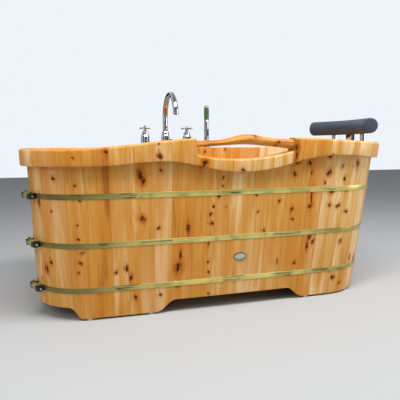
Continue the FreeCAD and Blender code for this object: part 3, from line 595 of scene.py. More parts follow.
@dataclass(frozen=True)
class KnottyCedar(Finish):
    """Knotty cedar under satin varnish; tones run from pale to deep, lengths are in metres."""

    grain: Grain = Grain.STAVE
    tone: float = 0.45
    tone_spread: float = 0.24
    lane: float = 0.090464
    lane_seed: float = 47.0
    lane_seed_step: float = 2.9
    width_seed: float = 3.3
    no_joint: float = 9.0
    knots: int = KNOT_SLOTS
    knot_slant: float = 0.25
    knot_pull: float = 0.75
    figure_weights: tuple[tuple[str, float, float], ...] = (
        ("Bands", 1.15, 0.5), ("Streaks", 0.6, 0.5), ("Rings", 0.18, 0.25), ("Fibre", 0.5, 0.5))
    blush_share: float = 0.55
    pitch_share: float = 0.6
    end_share: float = 0.6
    bark_share: float = 0.8
    joint_share: float = 0.35
    joint_start: float = 0.0014
    joint_full: float = 0.0003
    coat: float = 0.12
    coat_rough: float = 0.10
    specular: float = 0.10
    pale: Triple = (0.82, 0.585, 0.305)
    honey: Triple = (0.64, 0.335, 0.075)
    orange: Triple = (0.60, 0.235, 0.030)
    rose: Triple = (0.68, 0.30, 0.105)
    umber: Triple = (0.27, 0.080, 0.010)
    pitch: Triple = (0.34, 0.085, 0.008)
    knot_core: Triple = (0.036, 0.008, 0.002)
    knot_bark: Triple = (0.25, 0.052, 0.006)
    knot_stain: Triple = (0.52, 0.130, 0.010)
    end_grain: Triple = (0.66, 0.25, 0.035)

    def board(self, graph: Graph) -> tuple[Any, Any, Any, Any]:
        """Place on the board, and the board's seed, tone and half width."""
        if self.grain is Grain.STAVE:
            own = graph.parts(graph.attribute("stave").outputs["Vector"])
            return graph.attribute("board").outputs["Vector"], *own
        if self.grain is Grain.WIDTH:
            return graph.object_place(), self.width_seed, self.tone, self.no_joint
        x, y, z = graph.parts(graph.object_place())
        number = graph.math("ROUND", graph.math("DIVIDE", y, self.lane))
        seed = graph.linear(number, self.lane_seed_step, self.lane_seed)
        tone = graph.linear(graph.chance(seed, "Value"), self.tone_spread, self.tone - self.tone_spread / 2)
        return graph.combined(graph.linear(number, -self.lane, y), x, z), seed, tone, self.lane / 2

    def knotted(self, graph: Graph, board: Any) -> tuple[Any, Any, Any, Any]:
        """Core, ring and halo of all knots, and the place on the board with the grain pulled round them."""
        across, along, deep = graph.parts(board)
        ragged = RAGGED.place(graph, board)
        marks = {"Core": 0.0, "Ring": 0.0, "Halo": 0.0}
        for index in range(self.knots):
            knot = graph.attribute(f"knot_{index}")
            own = KNOT.place(graph, Board=board, Knot=knot.outputs["Vector"], Ragged=ragged,
                             Stretch=knot.outputs["Alpha"], Slant=self.knot_slant * (-1) ** index)
            marks = {mark: graph.math("MAXIMUM", own[mark], value) for mark, value in marks.items()}
            across = graph.linear(own["Pull"], -self.knot_pull, across)
        return *marks.values(), graph.combined(across, along, deep)

    def sockets(self, graph: Graph) -> dict[str, Any]:
        """Rings, streaks and bands over the board's own tone, then knots and joints."""
        board, seed, tone, half = self.board(graph)
        core, ring, halo, flowing = self.knotted(graph, board)
        figure = FIGURE.place(graph, Board=flowing, Seed=seed)
        level = tone
        for part, weight, middle in self.figure_weights:
            level = graph.linear(graph.math("SUBTRACT", figure[part], middle), weight, level)
        facing = graph.parts(graph.node("TexCoord").outputs["Normal"])[2]
        edge = graph.math("SUBTRACT", half, graph.math("ABSOLUTE", graph.parts(board)[0]))
        char = graph.ranged(CHAR.place(graph, board), 0.34, 0.5, 0.45, 0.96)
        stain = graph.ranged(figure["Streaks"], 0.3, 0.6, 0.25, 0.85)
        colour = graph.ramp(level, ((0.05, self.pale), (0.38, self.honey), (0.66, self.orange),
                                    (1.0, self.umber)))
        washes = (
            (figure["Flush"], graph.ranged(tone, 0.1, 0.5, 0.1, 0.75), self.orange),
            (figure["Blush"], self.blush_share, self.rose),
            (figure["Pitch"], self.pitch_share, self.pitch),
            (graph.ranged(facing, 0.55, 0.95), self.end_share, self.end_grain),
            (halo, stain, self.knot_stain),
            (ring, self.bark_share, self.knot_bark),
            (core, char, self.knot_core),
            (graph.ranged(edge, self.joint_start, self.joint_full), self.joint_share, self.umber))
        for mask, share, tint in washes:
            colour = graph.mixed(graph.times(mask, share), colour, tint)
        return {"Base Color": colour, "Roughness": graph.ranged(figure["Fibre"], 0.3, 0.75, 0.29, 0.40),
                "Coat Weight": self.coat, "Coat Roughness": self.coat_rough,
                "Specular IOR Level": self.specular, "Normal": graph.bump(figure["Fibre"], 0.25, 0.25)}


@dataclass(frozen=True)
class AntiqueBrass(Finish):
    """Rolled brass with dark tarnish, and painted shade towards the foot end and, low down, towards the head
    end.
    """

    bright: Triple = (0.77, 0.67, 0.215)
    dull: Triple = (0.33, 0.29, 0.085)
    # Colour of the painted shade towards the foot end and low down at the head end.
    painted_shade: Triple = (0.15, 0.127, 0.036)
    tarnish: Triple = (0.015, 0.02, 0.012)
    tarnish_share: float = 0.9
    # Painted shade: how strongly, and over which reaches in metres, the brass darkens towards the foot end
    # and, low down, towards the head end.
    foot_shade_share: float = 0.88
    foot_shade_reach: tuple[float, float] = (-0.62, -0.25)
    head_shade_share: float = 0.5
    head_shade_reach: tuple[float, float] = (0.2, 0.5)
    head_shade_height: tuple[float, float] = (0.38, 0.46)

    def sockets(self, graph: Graph) -> dict[str, Any]:
        """Bright and dull brass in blotches, painted shade towards the ends, and tarnish streaks along the
        band.
        """
        place = graph.object_place()
        marks = PATINA.place(graph, Place=place)
        colour = graph.mixed(graph.ranged(marks["Blotches"], 0.35, 0.7, 0.0, 0.5), self.bright, self.dull)
        colour = graph.mixed(graph.ranged(marks["Lines"], 0.45, 0.8, 0.0, 0.3), colour, self.dull)
        along, _, height = graph.parts(place)
        # Painted shade: darker towards the foot end and, low down, towards the head end.
        foot = graph.ranged(along, *self.foot_shade_reach, self.foot_shade_share, 0.0)
        head = graph.times(graph.ranged(along, *self.head_shade_reach, 0.0, self.head_shade_share),
                           graph.ranged(height, *self.head_shade_height, 1.0, 0.0))
        colour = graph.mixed(graph.math("MAXIMUM", foot, head), colour, self.painted_shade)
        dark = graph.times(marks["Dark"], self.tarnish_share)
        return {"Base Color": graph.mixed(dark, colour, self.tarnish),
                "Metallic": graph.ranged(dark, 0.0, 1.0, 0.65, 0.2),
                "Roughness": graph.ranged(marks["Blotches"], 0.3, 0.75, 0.30, 0.48),
                "Normal": graph.bump(marks["Lines"], 0.15, 0.3)}


@dataclass(frozen=True)
class Polished(Finish):
    """Polished or satin metal with traces of handling."""

    colour: Triple = (0.72, 0.73, 0.75)
    smudged: Triple = (0.62, 0.63, 0.65)
    rough: float = 0.03
    rough_spread: float = 0.06

    def sockets(self, graph: Graph) -> dict[str, Any]:
        """Even metal, a little duller where it is smudged."""
        smudge = HANDLING.place(graph, Place=graph.object_place())["Smudge"]
        return {"Base Color": graph.mixed(smudge, self.colour, self.smudged), "Metallic": 1.0,
                "Roughness": graph.ranged(smudge, 0.0, 1.0, self.rough, self.rough + self.rough_spread)}


@dataclass(frozen=True)
class Moulded(Finish):
    """Rubber, plastic, foam, cloth or dull steel with a fine pebbled surface; depth is in millimetres."""

    colour: Triple
    worn: Triple
    rough: float
    pebble: float = 900.0
    depth: float = 0.08
    specular: float = 0.5
    rough_spread: float = 0.06

    def sockets(self, graph: Graph) -> dict[str, Any]:
        """Pebbled skin that is a little lighter where hands rub it."""
        place = graph.object_place()
        marks = HANDLING.place(graph, Place=place)
        cells = graph.node("TexVoronoi", {"Vector": place, "Scale": self.pebble}).outputs["Distance"]
        smoothest, roughest = self.rough - self.rough_spread, self.rough + self.rough_spread
        return {"Base Color": graph.mixed(marks["Smudge"], self.colour, self.worn),
                "Roughness": graph.ranged(marks["Speck"], 0.3, 0.7, smoothest, roughest),
                "Specular IOR Level": self.specular, "Normal": graph.bump(cells, self.depth, 0.5)}


@dataclass(frozen=True)
class StudioFloor(Finish):
    """Plain pale floor."""

    colour: Triple = (0.44, 0.445, 0.45)
    mottle: float = 0.97

    def sockets(self, graph: Graph) -> dict[str, Any]:
        """One pale tone with a faint mottle."""
        darker = tuple(part * self.mottle for part in self.colour)
        return {"Base Color": graph.mixed(graph.noise(graph.object_place(), 3.0), self.colour, darker),
                "Roughness": 0.9, "Specular IOR Level": 0.0}


STAVE_CEDAR = KnottyCedar("knotty_cedar_staves")
FLOOR_CEDAR = KnottyCedar("cedar_floor_boards", grain=Grain.LENGTH, tone=0.42, knots=0, end_share=0.0)
BEARER_CEDAR = KnottyCedar("cedar_bearers", grain=Grain.WIDTH, tone=0.55, knots=0)
HANDLE_CEDAR = KnottyCedar("cedar_handle", knots=3, end_share=0.0)
ANTIQUE_BRASS = AntiqueBrass("antique_brass")
# The tensioners get less of the painted shade at the foot end.
TENSIONER_BRASS = AntiqueBrass("tensioner_brass", foot_shade_share=0.45)
FITTING_BRASS = Polished("fitting_brass", (0.62, 0.46, 0.19), (0.48, 0.36, 0.15), 0.25, 0.15)
# Black-oxide steel for nuts and screws; on the brass hoop lugs it is painted shade.
BLACK_STEEL_AND_LUG_SHADE = Moulded("black_oxide", (0.010, 0.009, 0.008), (0.018, 0.016, 0.014), 0.3, depth=0.03,
                     specular=0.3)
BARE_STEEL = Polished("bare_steel", (0.56, 0.57, 0.58), (0.45, 0.46, 0.47), 0.3, 0.12)
CHROME = Polished("chrome")
BADGE_METAL = Polished("badge_metal", (0.60, 0.63, 0.63), (0.52, 0.55, 0.55), 0.3, 0.1)
# Dark finish for the badge's border and sides: painted shade for the shade line round the sunk middle.
BADGE_BORDER_SHADE = Polished("badge_edge", (0.15, 0.14, 0.13), (0.20, 0.19, 0.18), 0.35, 0.1)
SEAL_RUBBER = Moulded("gasket_rubber", (0.018, 0.018, 0.018), (0.03, 0.03, 0.03), 0.6)
SPRAY_RUBBER = Moulded("nozzle_rubber", (0.040, 0.140, 0.030), (0.050, 0.160, 0.040), 0.6, specular=0.3)
GLIDE_PLASTIC = Moulded("white_nylon", (0.68, 0.69, 0.70), (0.6, 0.6, 0.6), 0.3, 700.0, 0.03)
FOAM_SKIN = Moulded("foam_skin", (0.046, 0.065, 0.093), (0.056, 0.076, 0.105), 0.45, 520.0, 0.10,
                    specular=0.3)
PALE_FLOOR = StudioFloor("pale_floor")
FLAG_CLOTH = Moulded("flag_cloth", (0.012, 0.012, 0.013), (0.016, 0.016, 0.016), 0.8)


# Seating pieces on the frame

def seat(piece: Piece, body: Body, slot: str, finish: Optional[Finish], *nodes: str,
         angle: float = SHARP_ANGLE) -> None:
    """Shade a piece and put it on its body.

    Args:
        piece: The piece.
        body: Body that it rides on.
        slot: Its material slot in the record; not used.
        finish: Its finish, unless it has its own materials.
        nodes: Nodes that it stands for.
        angle: Edges flatter than this, in degrees, are shaded smooth.
    """
    pick(piece)
    bpy.ops.object.shade_smooth_by_angle(angle=math.radians(angle))
    if finish:
        piece.data.materials.clear()
        piece.data.materials.append(finish.make())
    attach(piece, body.value)
    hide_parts(*nodes)
    LOG.info("%s on %s for %s", piece.name, body.value, ", ".join(nodes))


@dataclass(frozen=True)
class EasedNode:
    """Node that keeps its frame shape, with its edges rounded by a width in millimetres."""

    name: str
    slot: str
    finish: Finish
    width: float
    body: Body = Body.TUB
    steps: int = 3

    def build(self, nodes: Nodes) -> None:
        """Copy the node, round its edges and seat the copy."""
        piece = bpy.data.objects.new(self.name + "_eased", nodes[self.name].data.copy())
        bpy.context.scene.collection.objects.link(piece)
        with editing(piece):
            bpy.ops.mesh.remove_doubles(threshold=WELD)
            bpy.ops.mesh.dissolve_limited(angle_limit=math.radians(FLAT_ANGLE))
        applied(piece, "BEVEL", width=self.width * MM, segments=self.steps, limit_method="ANGLE",
                angle_limit=math.radians(SHARP_ANGLE))
        seat(piece, self.body, self.slot, self.finish, self.name)


# Plan and waves of the tub

@dataclass(frozen=True)
class Arc:
    """One arc of the plan, in millimetres and degrees."""

    x: float
    y: float
    radius: float
    start: float
    finish: float


@dataclass(frozen=True)
class TubPlan:
    """Outer wall of the tub as eight tangent arcs that lean out with height, in millimetres."""

    length: float = 1560.0
    width: float = 776.0
    foot_rim: float = 633.0
    head_rim: float = 654.0
    foot_lean: float = 0.040
    head_lean: float = 0.107
    side_lean: float = 0.055
    foot_corner: float = 197.0
    head_corner: float = 234.0
    side_turn: float = 1.8
    end_turn: float = 1.5
    overhang: float = 24.5
    thickness: float = 26.0
    middle: float = 350.0

    def arc(self, run: Run, z: float) -> Arc:
        """One arc of the outer wall at height z."""
        side, end = math.radians(self.side_turn), math.radians(self.end_turn)
        half = self.width / 2 - self.overhang - self.side_lean * (self.foot_rim - z)
        foot = -(self.length / 2 - self.overhang - self.foot_lean * (self.foot_rim - z))
        head = self.length / 2 - self.overhang - self.head_lean * (self.head_rim - z)
        radii = self.foot_corner + self.head_corner
        side_drop, end_drop = 1 - math.cos(side), 1 - math.cos(end)
        spread = radii + (2 * half - radii * math.cos(side)) / math.sin(end)
        straight = head - foot - radii * (math.cos(end) - math.sin(side)) - end_drop * spread
        bow = straight / (2 * math.sin(side) - 2 * side_drop * end_drop / math.sin(end))
        foot_y = bow * side_drop + self.foot_corner * math.cos(side) - half
        head_y = bow * side_drop + self.head_corner * math.cos(side) - half
        foot_bow = self.foot_corner - foot_y / math.sin(end)
        head_bow = self.head_corner - head_y / math.sin(end)
        foot_x = foot + self.foot_corner * math.cos(end) + foot_bow * end_drop
        head_x = head - self.head_corner * math.cos(end) - head_bow * end_drop
        middle_x = foot_x + (bow - self.foot_corner) * math.sin(side)
        turn, end_turn = 90 - self.side_turn, self.end_turn
        return {
            Run.FRONT: Arc(middle_x, bow - half, bow, 180 + turn, 360 - turn),
            Run.FRONT_HEAD: Arc(head_x, head_y, self.head_corner, 360 - turn, 360 - end_turn),
            Run.HEAD: Arc(head - head_bow, 0, head_bow, -end_turn, end_turn),
            Run.REAR_HEAD: Arc(head_x, -head_y, self.head_corner, end_turn, turn),
            Run.REAR: Arc(middle_x, half - bow, bow, turn, 180 - turn),
            Run.REAR_FOOT: Arc(foot_x, -foot_y, self.foot_corner, 180 - turn, 180 - end_turn),
            Run.FOOT: Arc(foot + foot_bow, 0, foot_bow, 180 - end_turn, 180 + end_turn),
            Run.FRONT_FOOT: Arc(foot_x, foot_y, self.foot_corner, 180 + end_turn, 180 + turn),
        }[run]

    def spot(self, run: Run, share: float, grow: float, z: float) -> Vector:
        """Point on an arc at height z, moved outwards by grow, in millimetres."""
        arc = self.arc(run, z)
        turn = math.radians(arc.start + (arc.finish - arc.start) * share)
        reach = arc.radius + grow
        return Vector((arc.x + reach * math.cos(turn), arc.y + reach * math.sin(turn), z))

    def reach(self, run: Run) -> float:
        """Length of an arc at the middle of the wall."""
        arc = self.arc(run, self.middle)
        return arc.radius * math.radians(arc.finish - arc.start)

    def share_at(self, run: Run, x: float, z: float) -> float:
        """Share of the front or rear arc at the place x along the tub."""
        arc = self.arc(run, z)
        turn = math.degrees(math.acos((x - arc.x) / arc.radius))
        return ((360 - turn if run is Run.FRONT else turn) - arc.start) / (arc.finish - arc.start)

    def share_of(self, run: Run, point: Vector) -> float:
        """Share of an arc that a point in millimetres lies at."""
        arc = self.arc(run, point.z)
        middle = (arc.start + arc.finish) / 2
        turn = math.degrees(math.atan2(point.y - arc.y, point.x - arc.x))
        turn = (turn - middle + 180) % 360 - 180 + middle
        return (turn - arc.start) / (arc.finish - arc.start)


@dataclass(frozen=True)
class Wave:
    """Line that runs level through its points and eases from one to the next."""

    points: tuple[tuple[float, float], ...]
    pull: float = 0.42
    halvings: int = 22

    def at(self, x: float) -> float:
        """Height of the line at x."""
        if x <= self.points[0][0]:
            return self.points[0][1]
        for (start_x, start_z), (end_x, end_z) in zip(self.points, self.points[1:]):
            if x <= end_x:
                share, low, high = (x - start_x) / (end_x - start_x), 0.0, 1.0
                for _ in range(self.halvings):
                    t = (low + high) / 2
                    along = 3 * self.pull * t * (1 - t) ** 2 + 3 * (1 - self.pull) * t * t * (1 - t) + t ** 3
                    low, high = (t, high) if along < share else (low, t)
                return start_z + (end_z - start_z) * t * t * (3 - 2 * t)
        return self.points[-1][1]


@dataclass(frozen=True)
class Notch:
    """Scooped notch in the front rim, in millimetres."""

    left: float = -152.0
    right: float = 249.5
    left_top: float = 672.0
    right_top: float = 673.0
    low_x: float = 20.0
    low: float = 592.5
    radius: float = 880.0
    left_corner: float = 26.0
    right_corner: float = 12.0
    spill: float = 3.0

    def at(self, x: float) -> float:
        """Height of the notch's floor at x."""
        middle_z = self.low + self.radius
        for end, corner, inward in ((self.left - self.spill, self.left_corner, 1),
                                    (self.right + self.spill, self.right_corner, -1)):
            corner_x = end + inward * corner
            drop = math.sqrt((self.radius - corner) ** 2 - (corner_x - self.low_x) ** 2)
            touch = corner_x + (corner_x - self.low_x) * corner / (self.radius - corner)
            if (touch - x) * inward > 0:
                return middle_z - drop - math.sqrt(max(corner ** 2 - (x - corner_x) ** 2, 0))
        return middle_z - math.sqrt(self.radius ** 2 - (x - self.low_x) ** 2)


@dataclass(frozen=True)
class Deck:
    """Places of the taps on the rear rim and of the headrest's posts, in millimetres."""

    line: float = 360.5
    hot: float = -203.0
    spout: float = -97.0
    cold: float = 19.0
    shower: float = 128.0
    post_x: float = 754.75
    post_side: float = 119.0

    def taps(self) -> tuple[float, ...]:
        """Places of the taps along the tub."""
        return self.hot, self.spout, self.cold, self.shower


PLAN = TubPlan()
NOTCH = Notch()
DECK = Deck()
FRONT_TOP = Wave(((-640, 633), (-60, 672), (200, 673), (800, 654)))
REAR_TOP = Wave(((400, 633), (800, 654)))
FRONT_EDGE = Wave(((-520, 571), (-280, 585.5), (35, 542.5), (460, 603), (720, 589)))
REAR_EDGE = Wave(((400, 571), (720, 589)))
FEET = Wave(((-619, 51), (-568, 7), (-300, 7), (-220, 51), (253, 51), (333, 7)))


# Staves

@dataclass(frozen=True)
class Knot:
    """Knot in the wood: place along the front and height, radius, all in millimetres, and how tall it is."""

    along: float
    height: float
    radius: float
    stretch: float = 1.0


FRONT_KNOTS = tuple(Knot(*values) for values in (
    (-587, 602, 4), (-478, 622, 7, 0.8), (-290, 605, 8, 1.3), (-292, 650, 5, 0.7), (-280, 553, 4),
    (-357, 537, 9, 2.0), (-345, 515, 7, 1.6), (-350, 377, 10), (-587, 504, 4), (-664, 530, 5, 1.2),
    (-573, 450, 4), (-582, 362, 3), (-580, 310, 4), (-567, 260, 7, 0.7), (-575, 222, 5), (-583, 185, 4),
    (-583, 107, 5), (-678, 412, 3), (-690, 222, 5, 1.6), (-712, 192, 10, 1.2), (-738, 445, 6, 3.0),
    (-290, 337, 5), (-175, 330, 6, 3.2), (-55, 452, 6), (-75, 412, 5), (-85, 382, 6), (-78, 345, 11, 0.5),
    (-23, 408, 3), (-40, 490, 4), (-38, 520, 4, 1.5), (-407, 190, 11), (-395, 153, 7, 1.4),
    (-450, 178, 7, 0.8), (-378, 75, 6, 1.6), (-214, 180, 11, 1.4), (-205, 225, 4, 4.0), (-214, 103, 6, 0.6),
    (-283, 77, 6), (-93, 192, 4), (-92, 150, 4), (-94, 270, 4, 3.5), (-91, 62, 4), (-120, 580, 8, 1.2),
    (32, 550, 7, 0.8), (255, 635, 8, 1.2), (245, 668, 5), (278, 572, 9, 0.6), (268, 528, 7, 1.2),
    (258, 600, 4, 4.0), (336, 572, 8), (343, 532, 5, 1.6), (426, 598, 6), (428, 530, 9, 1.2), (410, 490, 5),
    (493, 555, 5, 1.3), (505, 505, 5, 1.6), (568, 570, 8, 1.8), (448, 452, 9, 0.7), (520, 457, 5),
    (345, 395, 8), (350, 430, 4, 6.0), (263, 387, 6, 1.2), (267, 345, 5), (438, 395, 6), (480, 390, 9, 0.8),
    (525, 363, 7, 0.7), (143, 303, 7), (112, 382, 4), (102, 450, 4), (205, 422, 5), (350, 265, 8, 1.4),
    (340, 225, 5, 3.0), (392, 272, 7, 0.6), (430, 265, 6), (367, 243, 6, 1.6), (470, 225, 9, 1.6),
    (505, 235, 6), (283, 158, 6), (578, 155, 6, 2.4), (628, 140, 10, 1.4), (432, 95, 9, 1.3), (476, 78, 9),
    (517, 45, 5), (251, 60, 5), (205, 170, 3, 3.0)))
REAR_KNOTS = (Knot(111, 610, 5, 1.2), Knot(224, 620, 5, 1.2))
NO_KNOT = (9.0, 9.0, 0.0, 1.0)


class Joint(Enum):
    """How the joints of a run are placed: evenly, by the notch or by the taps."""

    WHOLE = "whole"
    NOTCHED = "notched"
    TAPPED = "tapped"


@dataclass
class StaveRun:
    """Staves of one run of the wall, in millimetres."""

    run: Run
    node: str
    tones: tuple[float, ...]
    joint: Joint = Joint.WHOLE
    top: Wave = REAR_TOP
    edge: Wave = REAR_EDGE
    foot_side: int = 5
    in_notch: int = 5
    head_side: int = 3
    beside_taps: int = 4
    unevenness: float = 0.16
    unevenness_beat: float = 2.4
    relief_radius: float = 17.0
    relief_low: float = 496.0
    post_radius: float = 11.0
    post_depth: float = 42.0
    post_clearance: float = 30.0
    foot_edge: float = 2.0
    lower_round: float = 4.0
    outer_round: float = 10.0
    inner_round: float = 6.0
    floor_top: float = 120.0
    floor_low: float = 96.0
    croze: float = 8.0
    joint_gap: float = 0.7
    step: float = 7.0
    scatter_count: tuple[int, int] = (2, 5)
    scatter_share: tuple[float, float] = (0.15, 0.85)
    scatter_height: tuple[float, float] = (60, 540)
    scatter_radii: tuple[int, ...] = (3, 4, 5, 6, 9)
    scatter_stretch: tuple[float, float] = (0.7, 1.8)
    foot_shown: float = 0.35
    head_shown: float = 0.75

    def divided(self, first: float, last: float, count: int) -> list[float]:
        """Shares of the joints between staves, a little uneven, as sawn boards are."""
        inner = [index + self.unevenness * math.sin(self.unevenness_beat * index)
                 for index in range(1, count)]
        return [first] + [first + (last - first) * place / count for place in inner] + [last]

    def joints(self) -> list[float]:
        """Shares of all the joints of this run."""
        if self.joint is Joint.NOTCHED:
            left = PLAN.share_at(self.run, NOTCH.left, NOTCH.left_top)
            right = PLAN.share_at(self.run, NOTCH.right, NOTCH.right_top)
            return (self.divided(0, left, self.foot_side) + self.divided(left, right, self.in_notch)[1:]
                    + self.divided(right, 1, self.head_side)[1:])
        if self.joint is Joint.TAPPED:
            taps = DECK.taps()
            places = [(a + b) / 2 for a, b in zip(taps, taps[1:])]
            places = [2 * taps[0] - places[0]] + places + [2 * taps[-1] - places[-1]]
            shares = [PLAN.share_at(self.run, x, PLAN.foot_rim) for x in reversed(places)]
            return (self.divided(0, shares[0], self.beside_taps) + shares[1:-1]
                    + self.divided(shares[-1], 1, self.beside_taps))
        return self.divided(0, 1, len(self.tones))

    def section(self, share: float, notched: bool) -> Outline:
        """Section of a stave: distance from the outer wall and height, from the foot round to the croze."""
        def level(wave: Any, grow: float, guess: float) -> float:
            """Height of a wave above the point of the wall under it."""
            for _ in range(2):
                guess = wave.at(PLAN.spot(self.run, share, grow, guess).x)
            return guess
        top = NOTCH if notched else self.top
        inner, outer = -PLAN.thickness, PLAN.overhang
        croze = inner + self.croze
        near_foot, near_edge, near_top = 7.0, 580.0, 650.0
        return rounded([
            (inner, level(FEET, inner, near_foot), self.foot_edge),
            (0.0, level(FEET, 0.0, near_foot), self.foot_edge),
            (0.0, level(self.edge, 0.0, near_edge), 0.0),
            (outer, level(self.edge, outer, near_edge), self.lower_round),
            (outer, level(top, outer, near_top), self.outer_round),
            (inner, level(top, inner, near_top), self.inner_round),
            (inner, self.floor_top, 0.0), (croze, self.floor_top, 0.0), (croze, self.floor_low, 0.0),
            (inner, self.floor_low, 0.0)], steps=6)

    def stave(self, first: float, last: float, notched: bool) -> Piece:
        """One stave between two joints, with its edges eased."""
        count = max(4, math.ceil((last - first) * PLAN.reach(self.run) / self.step))
        shares = [first + (last - first) * index / count for index in range(count + 1)]
        sections = [self.section(share, notched) for share in shares]
        rows = len(sections[0])

        def point(column: int, row: int) -> Vector:
            """Point of the stave's skin."""
            grow, z = sections[column][row % rows]
            return PLAN.spot(self.run, shares[column], grow, z) * MM
        piece = wrap("stave", count, rows, point)
        with editing(piece):
            mesh = bmesh.from_edit_mesh(piece.data)
            bpy.ops.mesh.select_all(action="DESELECT")
            for face in mesh.faces:
                if len(face.verts) == rows:
                    face.select_set(True)
            bmesh.update_edit_mesh(piece.data)
            bpy.ops.mesh.bevel(offset=self.joint_gap * MM, segments=1, affect="EDGES")
        return piece

    def marked(self, piece: Piece, first: float, last: float, grain: tuple[float, float],
               knots: Sequence[tuple[float, Knot]]) -> None:
        """Write the stave's own place, grain and knots into its mesh.

        Args:
            piece: The stave.
            first: Share of its first joint.
            last: Share of its last joint.
            grain: Number that sets its figure, and its tone.
            knots: Knots with their share of the run.
        """
        reach, middle = PLAN.reach(self.run), (first + last) / 2
        places = []
        for vertex in piece.data.vertices:
            spot = vertex.co / MM
            arc = PLAN.arc(self.run, spot.z)
            grow = math.hypot(spot.x - arc.x, spot.y - arc.y) - arc.radius
            places.append(Vector(((PLAN.share_of(self.run, spot) - middle) * reach, spot.z, grow)) * MM)
        own = [((share - middle) * reach * MM, knot.height * MM, knot.radius * MM, knot.stretch)
               for share, knot in knots]
        own = (own + [NO_KNOT] * KNOT_SLOTS)[:KNOT_SLOTS]
        mark_board(piece, places, (*grain, (last - first) * reach * MM / 2), own)

    def cut(self, piece: Piece, first: float, last: float) -> None:
        """Bore the stave for a tap's nuts or a headrest bush that stands in it."""
        if self.joint is Joint.TAPPED:
            for x in DECK.taps():
                if first < PLAN.share_at(self.run, x, PLAN.foot_rim) < last:
                    bored(piece, self.relief_radius, Vector((x, DECK.line, self.relief_low)) * MM,
                          Vector((x, DECK.line, REAR_EDGE.at(x))) * MM)
        for side in (-1, 1):
            post = Vector((DECK.post_x, side * DECK.post_side, PLAN.head_rim))
            share = PLAN.share_of(self.run, post)
            if post.x > PLAN.arc(self.run, post.z).x and first < share < last:
                low, high = post - UP * self.post_depth, post + UP * self.post_clearance
                bored(piece, self.post_radius, low * MM, high * MM)

    def front_share(self, knot: Knot) -> float:
        """Share of this run that a knot of the front lies at; off the run, it isn't between 0 and 1."""
        start, finish = (PLAN.spot(Run.FRONT, share, 0, knot.height).x for share in (0, 1))
        if self.run is Run.FRONT_FOOT:
            return 1 - (start - knot.along) / PLAN.reach(self.run)
        if self.run is Run.FRONT_HEAD:
            return (knot.along - finish) / PLAN.reach(self.run)
        return PLAN.share_at(Run.FRONT, knot.along, knot.height) if start < knot.along < finish else -1

    def scattered(self, chance: random.Random, joints: Sequence[float]) -> list[tuple[float, Knot]]:
        """Knots by chance, left out where the front's own ones show."""
        found = []
        for first, last in zip(joints, joints[1:]):
            for _ in range(chance.randint(*self.scatter_count)):
                share = first + (last - first) * chance.uniform(*self.scatter_share)
                height, radius = chance.uniform(*self.scatter_height), chance.choice(self.scatter_radii)
                knot = Knot(0, height, radius, chance.uniform(*self.scatter_stretch))
                shown = {Run.FRONT_FOOT: share > self.foot_shown, Run.FRONT_HEAD: share < self.head_shown}
                if not shown.get(self.run, False):
                    found.append((share, knot))
        return found

    def knots(self, chance: random.Random, joints: Sequence[float]) -> list[tuple[float, Knot]]:
        """Knots of this run with their shares: the front's own ones, and a scatter elsewhere."""
        found = []
        if self.run in (Run.FRONT, Run.FRONT_FOOT, Run.FRONT_HEAD):
            found = [(self.front_share(knot), knot) for knot in FRONT_KNOTS]
        elif self.run is Run.REAR:
            found = [(PLAN.share_at(self.run, knot.along, knot.height), knot) for knot in REAR_KNOTS]
        return found if self.run is Run.FRONT else found + self.scattered(chance, joints)

    def build(self, chance: random.Random) -> None:
        """Make the staves of this run, join them and dress them."""
        joints = self.joints()
        knots = self.knots(chance, joints)
        notch = range(self.foot_side, self.foot_side + self.in_notch) if self.joint is Joint.NOTCHED else ()
        pieces = []
        for index, (first, last) in enumerate(zip(joints, joints[1:])):
            piece = self.stave(first, last, index in notch)
            self.cut(piece, first, last)
            own = [(share, knot) for share, knot in knots if first < share < last]
            self.marked(piece, first, last, (chance.uniform(0, 50), self.tones[index]), own)
            pieces.append(piece)
        whole = joined(self.node + "_cedar", pieces)
        seat(whole, Body.TUB, "stave_wood", STAVE_CEDAR, self.node, angle=40)


@dataclass
class StaveWall:
    """Whole wall of the tub; each run lists the tones of its staves."""

    runs: tuple[StaveRun, ...] = (
        StaveRun(Run.FRONT, "front_staves",
                 (0.62, 0.46, 0.41, 0.31, 0.5, 0.46, 0.37, 0.31, 0.35, 0.37, 0.56, 0.6, 0.28),
                 Joint.NOTCHED, FRONT_TOP, FRONT_EDGE),
        StaveRun(Run.FRONT_FOOT, "front_foot_corner_staves", (0.3, 0.25, 0.46, 0.56),
                 Joint.WHOLE, FRONT_TOP, FRONT_EDGE),
        StaveRun(Run.FRONT_HEAD, "front_head_corner_staves", (0.26, 0.24, 0.24, 0.3),
                 Joint.WHOLE, FRONT_TOP, FRONT_EDGE),
        StaveRun(Run.HEAD, "head_end_staves", (0.1, 0.06, 0.1)),
        StaveRun(Run.REAR_HEAD, "rear_head_corner_staves", (0.05, 0.08, 0.05, 0.06)),
        StaveRun(Run.REAR, "rear_staves",
                 (0.06, 0.44, 0.54, 0.6, 0.64, 0.58, 0.66, 0.66, 0.58, 0.62, 0.56, 0.58), Joint.TAPPED),
        StaveRun(Run.REAR_FOOT, "rear_foot_corner_staves", (0.42, 0.55, 0.36, 0.48)),
        StaveRun(Run.FOOT, "foot_end_staves", (0.5, 0.4, 0.56, 0.44)),
    )
    seed: int = 11

    def build(self) -> None:
        """Build every run with one line of chance."""
        chance = random.Random(self.seed)
        for run in self.runs:
            run.build(chance)


# Hoops, tensioners, handle and badge

